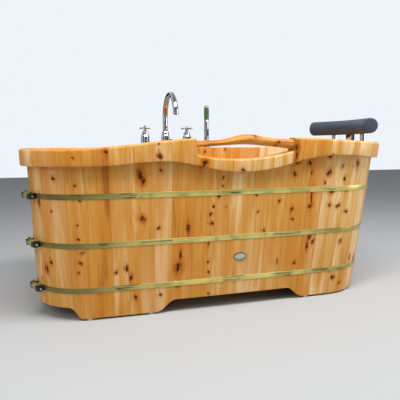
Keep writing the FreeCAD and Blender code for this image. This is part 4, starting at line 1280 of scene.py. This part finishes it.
@dataclass
class Hoops:
    """Three flat brass bands and the tensioners that close them, in millimetres and degrees."""

    heights: tuple[tuple[str, float], ...] = (
        ("hoop_top", 464.0), ("hoop_middle", 285.0), ("hoop_bottom", 116.0))
    width: float = 20.0
    thickness: float = 2.0
    edge: float = 0.7
    gap_start: float = 195.0
    gap_end: float = 206.5
    step: float = 16.0
    fittings: tuple[EasedNode, ...] = (
        # The lugs are brass; their black finish is painted shade for their shaded faces.
        EasedNode("hoop_lugs", "hoop_brass", BLACK_STEEL_AND_LUG_SHADE, 1.2),
        EasedNode("trunnion_pins", "hoop_brass", TENSIONER_BRASS, 0.8),
        EasedNode("tension_sleeves", "hoop_brass", TENSIONER_BRASS, 1.0),
        EasedNode("tension_bolts", "dark_steel", BARE_STEEL, 0.6),
        EasedNode("tension_nuts", "dark_steel", BLACK_STEEL_AND_LUG_SHADE, 1.0),
    )

    def path(self) -> list[tuple[Run, float]]:
        """Run and share of each step round the tub, from one side of the gap to the other."""
        arc = PLAN.arc(Run.FRONT_FOOT, 0)
        start, end = ((turn - arc.start) / (arc.finish - arc.start)
                      for turn in (self.gap_end, self.gap_start))
        whole = [(run, 0.0, 1.0) for run in Run if run is not Run.FRONT_FOOT]
        places: list[tuple[Run, float]] = []
        for run, first, last in [(Run.FRONT_FOOT, start, 1.0), *whole, (Run.FRONT_FOOT, 0.0, end)]:
            count = max(2, math.ceil((last - first) * PLAN.reach(run) / self.step))
            places += [(run, first + (last - first) * index / count) for index in range(count)]
        return places + [(Run.FRONT_FOOT, end)]

    def band(self, name: str, height: float) -> None:
        """One band round the tub."""
        path, half = self.path(), self.width / 2
        section = rounded([(0, -half, self.edge), (self.thickness, -half, self.edge),
                           (self.thickness, half, self.edge), (0, half, self.edge)], steps=2)

        def point(column: int, row: int) -> Vector:
            """Point of the band's skin."""
            grow, rise = section[row % len(section)]
            return PLAN.spot(*path[column], grow, height + rise) * MM
        piece = wrap(name + "_band", len(path) - 1, len(section), point)
        seat(piece, Body.TUB, "hoop_brass", ANTIQUE_BRASS, name, angle=50)

    def build(self, nodes: Nodes) -> None:
        """Make the bands and round the tensioners' edges."""
        for name, height in self.heights:
            self.band(name, height)
        for fitting in self.fittings:
            fitting.build(nodes)


@dataclass
class GrabHandle:
    """Bowed handle across the notch, with a carved crease that fades towards its middle, in millimetres."""

    stations: tuple[Triple, ...] = (
        (-152.0, 648.5, 25.0), (-52.5, 654.0, 23.0), (50.0, 666.5, 39.0),
        (151.0, 655.5, 33.5), (249.5, 648.0, 38.0))
    depth: float = 40.0
    line: float = -364.6
    level: float = 660.0
    crease: float = -0.08
    crease_dip: float = -0.6
    crease_reach: float = 0.12
    fade_start: float = 0.46
    fade_end: float = 0.62
    round_power: float = 0.86
    facet_power: float = 1.15
    flat_power: float = 2.6
    columns: int = 56
    quarter: int = 12
    seed: float = 7.7
    tone: float = 0.64
    half_width: float = 1.0
    knots: tuple[Knot, ...] = (Knot(82, 677, 5, 1.2), Knot(178, 655, 4, 1.5), Knot(168, 643, 3, 1.6))

    def at(self, share: float) -> list[float]:
        """Place, height and thickness at a share of the length, by a smooth line through the stations."""
        last = len(self.stations) - 1
        index = min(int(share * last), last - 1)
        t = share * last - index
        near = [self.stations[min(max(index + step, 0), last)] for step in (-1, 0, 1, 2)]
        return [b + 0.5 * t * (c - a + t * (2 * a - 5 * b + 4 * c - d + t * (3 * (b - c) + d - a)))
                for a, b, c, d in zip(*near)]

    def section(self, share: float) -> Outline:
        """Section as shares of the half depth and half height, from the top round the front."""
        fade = min(1.0, max(0.0, (self.fade_end - share) / (self.fade_end - self.fade_start)))
        crease = fade * (self.crease + self.crease_dip * math.exp(-share / self.crease_reach))
        upper, lower = (self.round_power + (power - self.round_power) * fade
                        for power in (self.facet_power, self.flat_power))
        points: Outline = []
        quarters = ((upper, 1.0, crease, 1), (lower, -1.0, crease, 1),
                    (self.round_power, -1.0, 0.0, -1), (self.round_power, 1.0, 0.0, -1))
        for power, start, finish, forward in quarters:
            arc = []
            for step in range(self.quarter):
                turn = math.pi / 2 * step / self.quarter
                reach, rise = math.sin(turn) ** power, math.cos(turn) ** power
                arc.append((forward * reach, finish + (start - finish) * rise))
            end = (float(forward), finish)
            points += arc if start * forward > 0 else ([end] + arc[:0:-1])
        return points

    def build(self) -> None:
        """Carve the handle and dress it."""
        sections = [self.section(row / self.columns) for row in range(self.columns + 1)]
        steps = len(sections[0])

        def point(column: int, row: int) -> Vector:
            """Point of the handle's skin."""
            x, height, tall = self.at(row / self.columns)
            front, rise = sections[row][column % steps]
            return Vector((x, self.line - front * self.depth / 2, height + rise * tall / 2)) * MM
        piece = wrap("grab_handle_carved", steps, self.columns, point)
        places = [(vertex.co.z - self.level * MM, vertex.co.x, vertex.co.y) for vertex in piece.data.vertices]
        knots = [((knot.height - self.level) * MM, knot.along * MM, knot.radius * MM, knot.stretch)
                 for knot in self.knots]
        mark_board(piece, places, (self.seed, self.tone, self.half_width), knots)
        seat(piece, Body.TUB, "stave_wood", HANDLE_CEDAR, "grab_handle", angle=42)


@dataclass
class Badge:
    """Blank plate with a raised border on the front wall, in millimetres."""

    x: float = 40.0
    height: float = 205.0
    long: float = 55.0
    tall: float = 31.5
    cut: tuple[float, float] = (16.0, 11.0)
    thickness: float = 2.0
    border: float = 3.4
    step: float = 0.6
    sunk: float = 0.7
    edge: float = 0.35
    stand_off: float = 0.2

    def build(self) -> None:
        """Cut the plate, sink its middle and lay it on the wall."""
        pick()
        bpy.ops.mesh.primitive_circle_add(vertices=8, radius=1, fill_type="NGON")
        plate = bpy.context.object
        plate.name = plate.data.name = "badge_plate_blank"
        half, rise = self.long / 2, self.tall / 2
        inset, level = half - self.cut[0], rise - self.cut[1]
        corners = [(half, level), (inset, rise), (-inset, rise), (-half, level),
                   (-half, -level), (-inset, -rise), (inset, -rise), (half, -level)]
        for vertex, corner in zip(plate.data.vertices, corners):
            vertex.co = Vector((*corner, 0)) * MM
        # The border and sides take the dark finish as painted shade; the sunk middle takes the plate's metal.
        for finish in (BADGE_BORDER_SHADE, BADGE_METAL):
            plate.data.materials.append(finish.make())
        with editing(plate):
            bpy.ops.mesh.normals_make_consistent(inside=False)
            bpy.ops.mesh.extrude_region_move(TRANSFORM_OT_translate={"value": (0, 0, self.thickness * MM)})
            bpy.ops.mesh.inset(thickness=self.border * MM)
            bpy.ops.mesh.inset(thickness=self.step * MM, depth=-self.sunk * MM)
            plate.active_material_index = 1
            bpy.ops.object.material_slot_assign()
            bpy.ops.mesh.select_all(action="SELECT")
            bpy.ops.mesh.normals_make_consistent(inside=False)
        applied(plate, "BEVEL", width=self.edge * MM, segments=2, limit_method="ANGLE")
        share = PLAN.share_at(Run.FRONT, self.x, self.height)
        spot = PLAN.spot(Run.FRONT, share, self.stand_off, self.height)
        lean = math.pi / 2 + math.atan(PLAN.side_lean)
        plate.data.transform(Matrix.Translation(spot * MM) @ Matrix.Rotation(lean, 4, "X"))
        seat(plate, Body.TUB, "hoop_brass", None, "badge_plate", angle=30)


# Taps

@dataclass
class TapSet:
    """Valves, swan-neck spout, diverter and hand shower on the rear rim.

    Profiles list radius, height above the foot and rounding of each corner, in millimetres.
    """

    shank: float = 10.45
    drop: float = 128.0
    thread_top: float = -64.0
    thread_depth: float = 0.8
    pitch: float = 1.8
    shank_end: float = 1.0
    waterway: tuple[Triple, ...] = ((7.0, -98.0, 0), (7.0, -128.0, 0))
    barrel: tuple[Triple, ...] = (
        (23, 0, 0.6), (23, 4, 1.0), (21.6, 5.2, 0.8), (21.6, 57, 3), (18, 64, 3),
        (16.4, 66, 1), (16.4, 79, 2), (13, 82, 1.5), (5.05, 82, 0), (5.05, 64, 0), (0, 64, 0))
    handle_height: float = 82.3
    hub: tuple[Triple, ...] = (
        (0, -18, 0), (5, -18, 0.5), (5, 0, 0), (8, 0, 0.6), (9, 3, 1.5), (7.2, 9, 3), (9, 12, 2),
        (9, 21, 1.2), (7.6, 22, 0.6), (0, 22, 0))
    cap: tuple[Triple, ...] = ((0, 22, 0), (6, 22, 0.4), (6, 25.5, 1.5), (4, 28.6, 2), (0, 30, 0))
    arm_height: float = 16.0
    arm_turn: float = 42.0
    arm: Sequence[tuple[float, float]] = (
        (5, 3.2), (10, 3.0), (16, 3.1), (22, 3.6), (27, 4.1), (30.5, 4.6), (32.6, 4.4),
        (33.6, 3.4), (34, 1.6))
    collar: tuple[Triple, ...] = (
        (22, 0, 0.6), (22, 4, 1), (20.6, 5.2, 0.8), (20.6, 60, 3), (18, 66, 2.5), (18, 78, 2), (15, 84, 2),
        (10.05, 84, 0), (10.05, 60, 0), (7, 60, 0), (7, -98, 0))
    neck_foot: Sequence[tuple[float, float]] = (
        (40.5, 9.9), (84.2, 9.9), (84.4, 11.8), (85.3, 12.7), (87, 13.0), (110, 13.0))
    neck_mouth: Sequence[tuple[float, float]] = (
        (4.0, 13.0), (7.0, 13.0), (7.01, 12.4), (8.0, 10.1), (3.0, 10.1))
    neck_top: float = 907.0
    pipe: float = 13.0
    bend: float = 112.0
    bend_steps: int = 36
    end_turn: float = 8.0
    aerator: tuple[Triple, ...] = (
        (0, -5, 0), (10, -5, 0), (10, 9, 0.8), (8.6, 9.5, 0.4), (8.4, 8, 0), (6, 7, 0.4), (5.6, 8, 0.4),
        (3, 7, 0.4), (2.6, 8, 0.4), (0, 7.6, 0))
    diverter_height: float = 43.0
    diverter: tuple[Triple, ...] = (
        (0, 13, 0), (3, 13, 0), (3, 22.3, 0), (6.4, 22.3, 0.5), (7.5, 24, 0.6), (7.5, 30, 0.6),
        (6.6, 31.5, 0.5), (7.3, 33, 0.5), (7.3, 35, 0.6), (6.3, 36.3, 0.8), (0, 36.3, 0))
    bush: tuple[Triple, ...] = ((17, 0, 0.6), (17, 4, 1.4), (14, 6, 1), (8.6, 6, 0), (8.6, -128.0, 0))
    shower: tuple[Triple, ...] = (
        (0, -33.5, 0), (8.5, -33.5, 0.6), (8.5, 6.3, 0), (11, 6.3, 0.6), (12.9, 9, 1.5), (12.9, 138, 0.3),
        (12.3, 139, 0.2), (12.3, 141, 0.2), (12.9, 142, 0.3), (12.9, 214, 3), (9, 219, 1.5), (0, 219, 0))
    spray_low: float = 144.0
    spray_high: float = 208.0
    spray_half_turn: float = 72.0
    spray_columns: int = 45
    spray_rows: int = 24
    spray_inner: float = 12.2
    spray_outer: float = 12.96
    nozzle: float = 13.0
    fittings: tuple[EasedNode, ...] = (
        EasedNode("shank_backnuts", "fixing_brass", FITTING_BRASS, 0.8),
        EasedNode("shank_washers", "seal_rubber", SEAL_RUBBER, 0.5),
    )

    def place(self, x: float) -> Vector:
        """Foot of a tap on the deck, in metres."""
        return Vector((x, DECK.line, PLAN.foot_rim)) * MM

    def thread(self) -> list[Triple]:
        """Threaded shank below the deck, from its lower end to the deck."""
        corners = [(self.shank - self.shank_end, -self.drop, 0)]
        for turn in range(math.ceil((self.drop + self.thread_top) / self.pitch - 1)):
            level = turn * self.pitch - self.drop
            corners.append((self.shank - self.thread_depth, level + self.pitch / 2, 0))
            corners.append((self.shank, level + self.pitch, 0))
        return corners + [(self.shank, 0, 0)]

    def valve(self, x: float, node: str) -> None:
        """Valve body: foot ring, barrel, shoulder and collar."""
        piece = turned(node + "_turned", [*self.waterway, *self.thread(), *self.barrel], self.place(x))
        seat(piece, Body.TUB, "tap_chrome", CHROME, node)

    def cross(self, x: float, name: str, body: Body) -> None:
        """Cross handle with its hub, four arms and domed cap."""
        base = self.place(x) + UP * self.handle_height * MM
        middle = base + UP * self.arm_height * MM
        parts = [turned("hub", self.hub, base)]
        for quarter in range(4):
            turn = math.radians(self.arm_turn + 90 * quarter)
            way = Vector((math.cos(turn), math.sin(turn), 0))
            parts.append(piped("arm", [middle + way * reach * MM for reach, _ in self.arm],
                               [radius for _, radius in self.arm], 24))
        handle = joined(name + "_cross_handle_formed", parts)
        seat(handle, body, "tap_chrome", CHROME, name + "_cross_handle", angle=45)
        cap = turned(name + "_handle_cap_domed", self.cap, base, steps=40)
        seat(cap, body, "tap_chrome", CHROME, name + "_handle_cap")

    def spout(self) -> None:
        """Spout: collar on the deck, swan neck, and the aerator with its sieve in the neck's mouth."""
        foot = self.place(DECK.spout)
        collar = turned("spout_base_turned", [*self.waterway, *self.thread(), *self.collar], foot)
        seat(collar, Body.TUB, "tap_chrome", CHROME, "spout_base")
        centre = Vector((DECK.spout, DECK.line - self.bend, self.neck_top - self.pipe - self.bend)) * MM
        turns = [math.radians(180 - (180 - self.end_turn) * index / self.bend_steps)
                 for index in range(self.bend_steps + 1)]
        bend = [centre + Vector((0, -math.cos(turn), math.sin(turn))) * self.bend * MM for turn in turns]
        tip, down = bend[-1], Vector((0, -math.sin(turns[-1]), -math.cos(turns[-1])))
        path = ([foot + UP * level * MM for level, _ in self.neck_foot] + bend
                + [tip + down * reach * MM for reach, _ in self.neck_mouth])
        radii = ([radius for _, radius in self.neck_foot] + [self.pipe] * len(bend)
                 + [radius for _, radius in self.neck_mouth])
        start, end = len(self.neck_foot), len(self.neck_mouth)
        ways = [UP] * start + tangents(path)[start:-end] + [down] * end
        neck = piped("spout_swan_neck", path, radii, 40, ways)
        seat(neck, Body.SPOUT, "tap_chrome", CHROME, "spout", angle=40)
        sieve = turned("spout_aerator_turned", self.aerator, Vector(), steps=32, arc_steps=3)
        turn = UP.rotation_difference(down).to_matrix().to_4x4()
        sieve.data.transform(Matrix.Translation(tip) @ turn)
        seat(sieve, Body.SPOUT, "tap_chrome", BARE_STEEL, "spout_aerator")

    def knob(self) -> None:
        """Diverter's turning knob at the side of the collar, with a grooved rim."""
        knob = turned("diverter_knob_turned", self.diverter, Vector(), steps=40, arc_steps=3)
        place = self.place(DECK.spout) + UP * self.diverter_height * MM
        knob.data.transform(Matrix.Translation(place) @ Matrix.Rotation(math.pi / 2, 4, "Y"))
        seat(knob, Body.DIVERTER, "tap_chrome", CHROME, "diverter_knob")

    def hand_shower(self) -> None:
        """Slim hand shower in its deck bush, with the spray face let into it."""
        place, thread = self.place(DECK.shower), self.thread()
        bush = turned("hand_shower_socket_turned", [*thread, *self.bush, thread[0]], place)
        seat(bush, Body.TUB, "tap_chrome", CHROME, "hand_shower_socket")
        body = turned("hand_shower_body_turned", self.shower, place, steps=56)
        seat(body, Body.SHOWER, "tap_chrome", CHROME, "hand_shower_body")
        half = math.radians(self.spray_half_turn)

        def point(column: int, row: int) -> Vector:
            """Point of the spray face, a curved pad with nozzles in rows; its second half lies inside."""
            inner, row = row > self.spray_rows, min(row, 2 * self.spray_rows - row)
            turn = -math.pi / 2 - half + 2 * half * column / self.spray_columns
            rise = self.spray_low + (self.spray_high - self.spray_low) * row / self.spray_rows
            edge = min(column, self.spray_columns - column, row, self.spray_rows - row)
            radius = self.spray_inner if inner or edge == 0 else self.spray_outer
            if not inner and edge > 1 and column % 3 == 0 and row % 2 == 0:
                radius = self.nozzle
            return place + Vector((radius * math.cos(turn), radius * math.sin(turn), rise)) * MM
        pad = wrap("hand_shower_face_pad", self.spray_columns, 2 * self.spray_rows, point)
        seat(pad, Body.SHOWER, "spray_rubber", SPRAY_RUBBER, "hand_shower_face", angle=30)

    def build(self, nodes: Nodes) -> None:
        """Build the taps and ease their nuts and washers."""
        self.valve(DECK.hot, "hot_valve_body")
        self.valve(DECK.cold, "cold_valve_body")
        self.cross(DECK.hot, "hot", Body.HOT)
        self.cross(DECK.cold, "cold", Body.COLD)
        self.spout()
        self.knob()
        self.hand_shower()
        for fitting in self.fittings:
            fitting.build(nodes)


# Headrest

@dataclass
class Headrest:
    """Bent roll cushion on chrome posts and a middle bracket, in millimetres."""

    radius: float = 37.6
    taper: float = 1.2
    height: float = 730.0
    middle_x: float = 744.5
    half_span: float = 245.0
    sag: float = 42.0
    shrink: float = 2.0
    edge: float = 4.0
    rings: int = 60
    sides: int = 56
    voxel: float = 5.0
    swell: float = 2.0
    pressure: float = 4.0
    frames: int = 20
    socket_top: float = 655.0
    post: tuple[Triple, ...] = (
        (0, -39.7, 0), (7, -39.7, 0), (8, -38, 0.5), (8, 0.3, 0), (11.5, 0.3, 0.4), (13, 2, 1), (13, 60, 0.5),
        (0, 60, 0))
    fittings: tuple[EasedNode, ...] = (
        EasedNode("headrest_bracket", "tap_chrome", CHROME, 1.6, Body.HEADREST),
        EasedNode("headrest_sockets", "tap_chrome", CHROME, 0.6),
    )

    def roll(self) -> Piece:
        """Roll a little under size, bent about its upright axis."""
        bend = (self.half_span ** 2 + self.sag ** 2) / (2 * self.sag)
        reach = bend * math.asin(self.half_span / bend) - self.shrink
        radius = self.radius - self.shrink
        ends = rounded([(0, -reach, 0), (radius, -reach, self.edge), (radius, reach, self.edge),
                        (0, reach, 0)], closed=False)
        half = len(ends) // 2
        middle = [(radius, -reach + self.edge + (2 * reach - 2 * self.edge) * index / self.rings)
                  for index in range(1, self.rings)]
        profile = ends[:half] + middle + ends[half:]

        def point(column: int, row: int) -> Vector:
            """Point of the roll's skin."""
            out, along = profile[row]
            out *= 1 + self.taper / self.radius * along / reach
            turn = math.tau * (column % self.sides) / self.sides
            swing = along / bend
            reach_x = bend + out * math.cos(turn)
            return Vector((self.middle_x - bend + reach_x * math.cos(swing), reach_x * math.sin(swing),
                           self.height + out * math.sin(turn))) * MM
        return wrap("headrest_cushion_roll", self.sides, len(profile) - 1, point)

    def swollen(self, cushion: Piece) -> None:
        """Blow the roll up as a skin over foam, and cap how far it moves."""
        applied(cushion, "REMESH", mode="VOXEL", voxel_size=self.voxel * MM)
        rest = [vertex.co.copy() for vertex in cushion.data.vertices]
        cloth = cushion.modifiers.new("skin", "CLOTH")
        cloth.settings.use_pressure = True
        cloth.settings.uniform_pressure_force = self.pressure
        cloth.settings.effector_weights.gravity = 0
        scene = bpy.context.scene
        for frame in range(1, self.frames + 1):
            scene.frame_set(frame)
        pick(cushion)
        bpy.ops.object.modifier_apply(modifier=cloth.name)
        scene.frame_set(1)
        for vertex, start in zip(cushion.data.vertices, rest):
            move = vertex.co - start
            if move.length > self.swell * MM:
                vertex.co = start + move.normalized() * self.swell * MM
        applied(cushion, "SUBSURF", levels=1, render_levels=1)

    def build(self, nodes: Nodes) -> None:
        """Make the cushion and the chrome that carries it."""
        cushion = self.roll()
        self.swollen(cushion)
        seat(cushion, Body.HEADREST, "cushion_foam", FOAM_SKIN, "headrest_cushion", "headrest_rail", angle=60)
        places = [Vector((DECK.post_x, side * DECK.post_side, self.socket_top)) * MM for side in (-1, 1)]
        posts = joined("headrest_posts_turned", [turned("post", self.post, place) for place in places])
        seat(posts, Body.HEADREST, "tap_chrome", CHROME, "headrest_posts")
        for fitting in self.fittings:
            fitting.build(nodes)


# Floor of the tub, waste and glides

@dataclass
class TubFloor:
    """Floor boards, bearers, waste and glides, which keep their frame shapes or have their edges eased."""

    eased: tuple[EasedNode, ...] = (
        EasedNode("drain_body", "tap_chrome", CHROME, 0.6),
        EasedNode("drain_plug_cap", "tap_chrome", CHROME, 1.2, Body.PLUG),
        EasedNode("drain_coupling", "fixing_brass", FITTING_BRASS, 0.8),
        EasedNode("drain_locknut", "fixing_brass", FITTING_BRASS, 0.8),
        EasedNode("drain_tailpiece", "fixing_brass", FITTING_BRASS, 0.5),
        EasedNode("floor_boards", "floor_wood", FLOOR_CEDAR, 1.0),
        EasedNode("floor_bearers", "floor_wood", BEARER_CEDAR, 2.0),
        EasedNode("glides", "glide_plastic", GLIDE_PLASTIC, 0.8),
    )
    kept: tuple[tuple[str, Finish], ...] = (
        ("bearer_screws", BLACK_STEEL_AND_LUG_SHADE), ("handle_dowels", FLOOR_CEDAR), ("drain_gasket", SEAL_RUBBER),
        ("drain_plug_stem", FITTING_BRASS), ("drain_plug_seal", SEAL_RUBBER))

    def build(self, nodes: Nodes) -> None:
        """Ease the edges that show, and dress the rest as they are."""
        for piece in self.eased:
            piece.build(nodes)
        for name, finish in self.kept:
            nodes[name].data.materials.clear()
            nodes[name].data.materials.append(finish.make())
            LOG.info("%s keeps its frame shape", name)


# Studio

@dataclass(frozen=True)
class Lamp:
    """Soft box: place and aim in metres, size, power, and whether polished metal mirrors it."""

    name: str
    place: Triple
    aim: Triple
    size: tuple[float, float]
    power: float
    mirrored: bool = True

    def build(self) -> None:
        """Hang the soft box."""
        light = bpy.data.lights.new(self.name, "AREA")
        light.shape, light.energy = "RECTANGLE", self.power
        light.size, light.size_y = self.size
        lamp = bpy.data.objects.new(self.name, light)
        way = Vector(self.aim) - Vector(self.place)
        lamp.matrix_world = Matrix.Translation(self.place) @ way.to_track_quat("-Z", "Y").to_matrix().to_4x4()
        lamp.visible_glossy = self.mirrored
        bpy.context.scene.collection.objects.link(lamp)


@dataclass(frozen=True)
class Flag:
    """Dark panel beside the set that polished metal mirrors; the camera doesn't see it."""

    name: str
    place: Triple
    size: tuple[float, float]
    turn: float

    def build(self) -> None:
        """Stand the panel up, turned about the upright axis by degrees."""
        pick()
        bpy.ops.mesh.primitive_plane_add(size=1)
        panel = bpy.context.object
        panel.name = self.name
        stand = Matrix.Rotation(math.radians(self.turn), 4, "Z") @ Matrix.Rotation(math.pi / 2, 4, "X")
        panel.data.transform(Matrix.Translation(self.place) @ stand @ Matrix.Diagonal((*self.size, 1, 1)))
        panel.data.materials.append(FLAG_CLOTH.make())
        panel.visible_camera = panel.visible_shadow = panel.visible_diffuse = False


@dataclass
class Studio:
    """Pale floor, soft light and the camera, in metres and degrees."""

    eye: Triple = (-0.6479, -2.02215, 0.64566)
    yaw: float = -17.2279
    pitch: float = 6.7663
    roll: float = -0.1466
    lens: float = 41.81
    sensor: float = 36.0
    far: float = 50.0
    floor_size: float = 16.0
    sky: Triple = (0.90, 0.95, 1.0)
    sky_front: float = 0.18
    sky_back: float = 0.95
    sky_top: float = 0.35
    sky_turn: tuple[float, float] = (-0.7, 0.5)
    sky_rise: tuple[float, float] = (0.35, 0.9)
    lamps: tuple[Lamp, ...] = (
        Lamp("ceiling_box", (0.15, -1.2, 2.9), (0.1, -0.3, 0.3), (3.6, 0.9), 122.0),
        Lamp("head_box", (3.2, -1.6, 1.35), (0.5, 0.0, 0.5), (0.8, 2.4), 43.0),
        Lamp("strip_box", (-2.2, -1.9, 2.2), (-0.4, 0.0, 0.4), (0.6, 1.4), 22.0, mirrored=False),
        Lamp("strip_card", (-2.4, -2.3, 1.2), (-0.4, 0.0, 0.6), (0.3, 1.8), 3.5),
    )
    flags: tuple[Flag, ...] = (
        Flag("flag_left", (-3.4, -1.6, 0.9), (2.0, 2.6), -60.0),
        Flag("flag_right", (3.0, -2.6, 0.9), (1.6, 2.6), 50.0),
        Flag("flag_left_back", (-1.9, 3.24, 1.0), (3.2, 2.6), 32.0),
        Flag("flag_right_back", (2.78, 2.16, 1.0), (3.2, 2.6), -58.0),
    )

    def build(self) -> None:
        """Lay the floor, hang the light and aim the camera."""
        pick()
        bpy.ops.mesh.primitive_plane_add(size=self.floor_size)
        floor = bpy.context.object
        floor.name = "studio_floor"
        floor.data.materials.append(PALE_FLOOR.make())
        for item in (*self.lamps, *self.flags):
            item.build()
        scene = bpy.context.scene
        scene.world = self.backdrop()
        scene.camera = self.camera()
        scene.view_settings.view_transform = "Standard"

    def backdrop(self) -> bpy.types.World:
        """Sky that is bright behind the tub, and dimmer in front of it and above."""
        world = bpy.data.worlds.new("studio_sky")
        world.use_nodes = True
        graph = Graph(world.node_tree)
        _, back, up = graph.parts(graph.node("TexCoord").outputs["Generated"])
        strength = graph.times(graph.ranged(back, *self.sky_turn, self.sky_front, self.sky_back),
                               graph.ranged(up, *self.sky_rise, 1.0, self.sky_top))
        graph.feed(world.node_tree.nodes["Background"], {"Color": (*self.sky, 1.0), "Strength": strength})
        return world

    def camera(self) -> Piece:
        """Camera at the photograph's viewing angle."""
        yaw, pitch, roll = (math.radians(angle) for angle in (self.yaw, self.pitch, self.roll))
        ahead = Vector((-math.sin(yaw) * math.cos(pitch), math.cos(yaw) * math.cos(pitch), -math.sin(pitch)))
        right = Vector((math.cos(yaw), math.sin(yaw), 0))
        up = right.cross(ahead)
        right, up = right * math.cos(roll) + up * math.sin(roll), up * math.cos(roll) - right * math.sin(roll)
        lens = bpy.data.cameras.new("photo_camera")
        lens.lens, lens.sensor_width, lens.clip_end = self.lens, self.sensor, self.far
        camera = bpy.data.objects.new("photo_camera", lens)
        turn = Matrix((right, up, -ahead)).transposed().to_4x4()
        camera.matrix_world = Matrix.Translation(self.eye) @ turn
        bpy.context.scene.collection.objects.link(camera)
        return camera


def main() -> None:
    """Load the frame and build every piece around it."""
    logging.basicConfig(level=logging.INFO, format="%(name)s: %(message)s")
    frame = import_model()
    nodes = frame["nodes"]
    Studio().build()
    StaveWall().build()
    Hoops().build(nodes)
    GrabHandle().build()
    Badge().build()
    TapSet().build(nodes)
    Headrest().build(nodes)
    TubFloor().build(nodes)


if __name__ == "__main__":
    main()
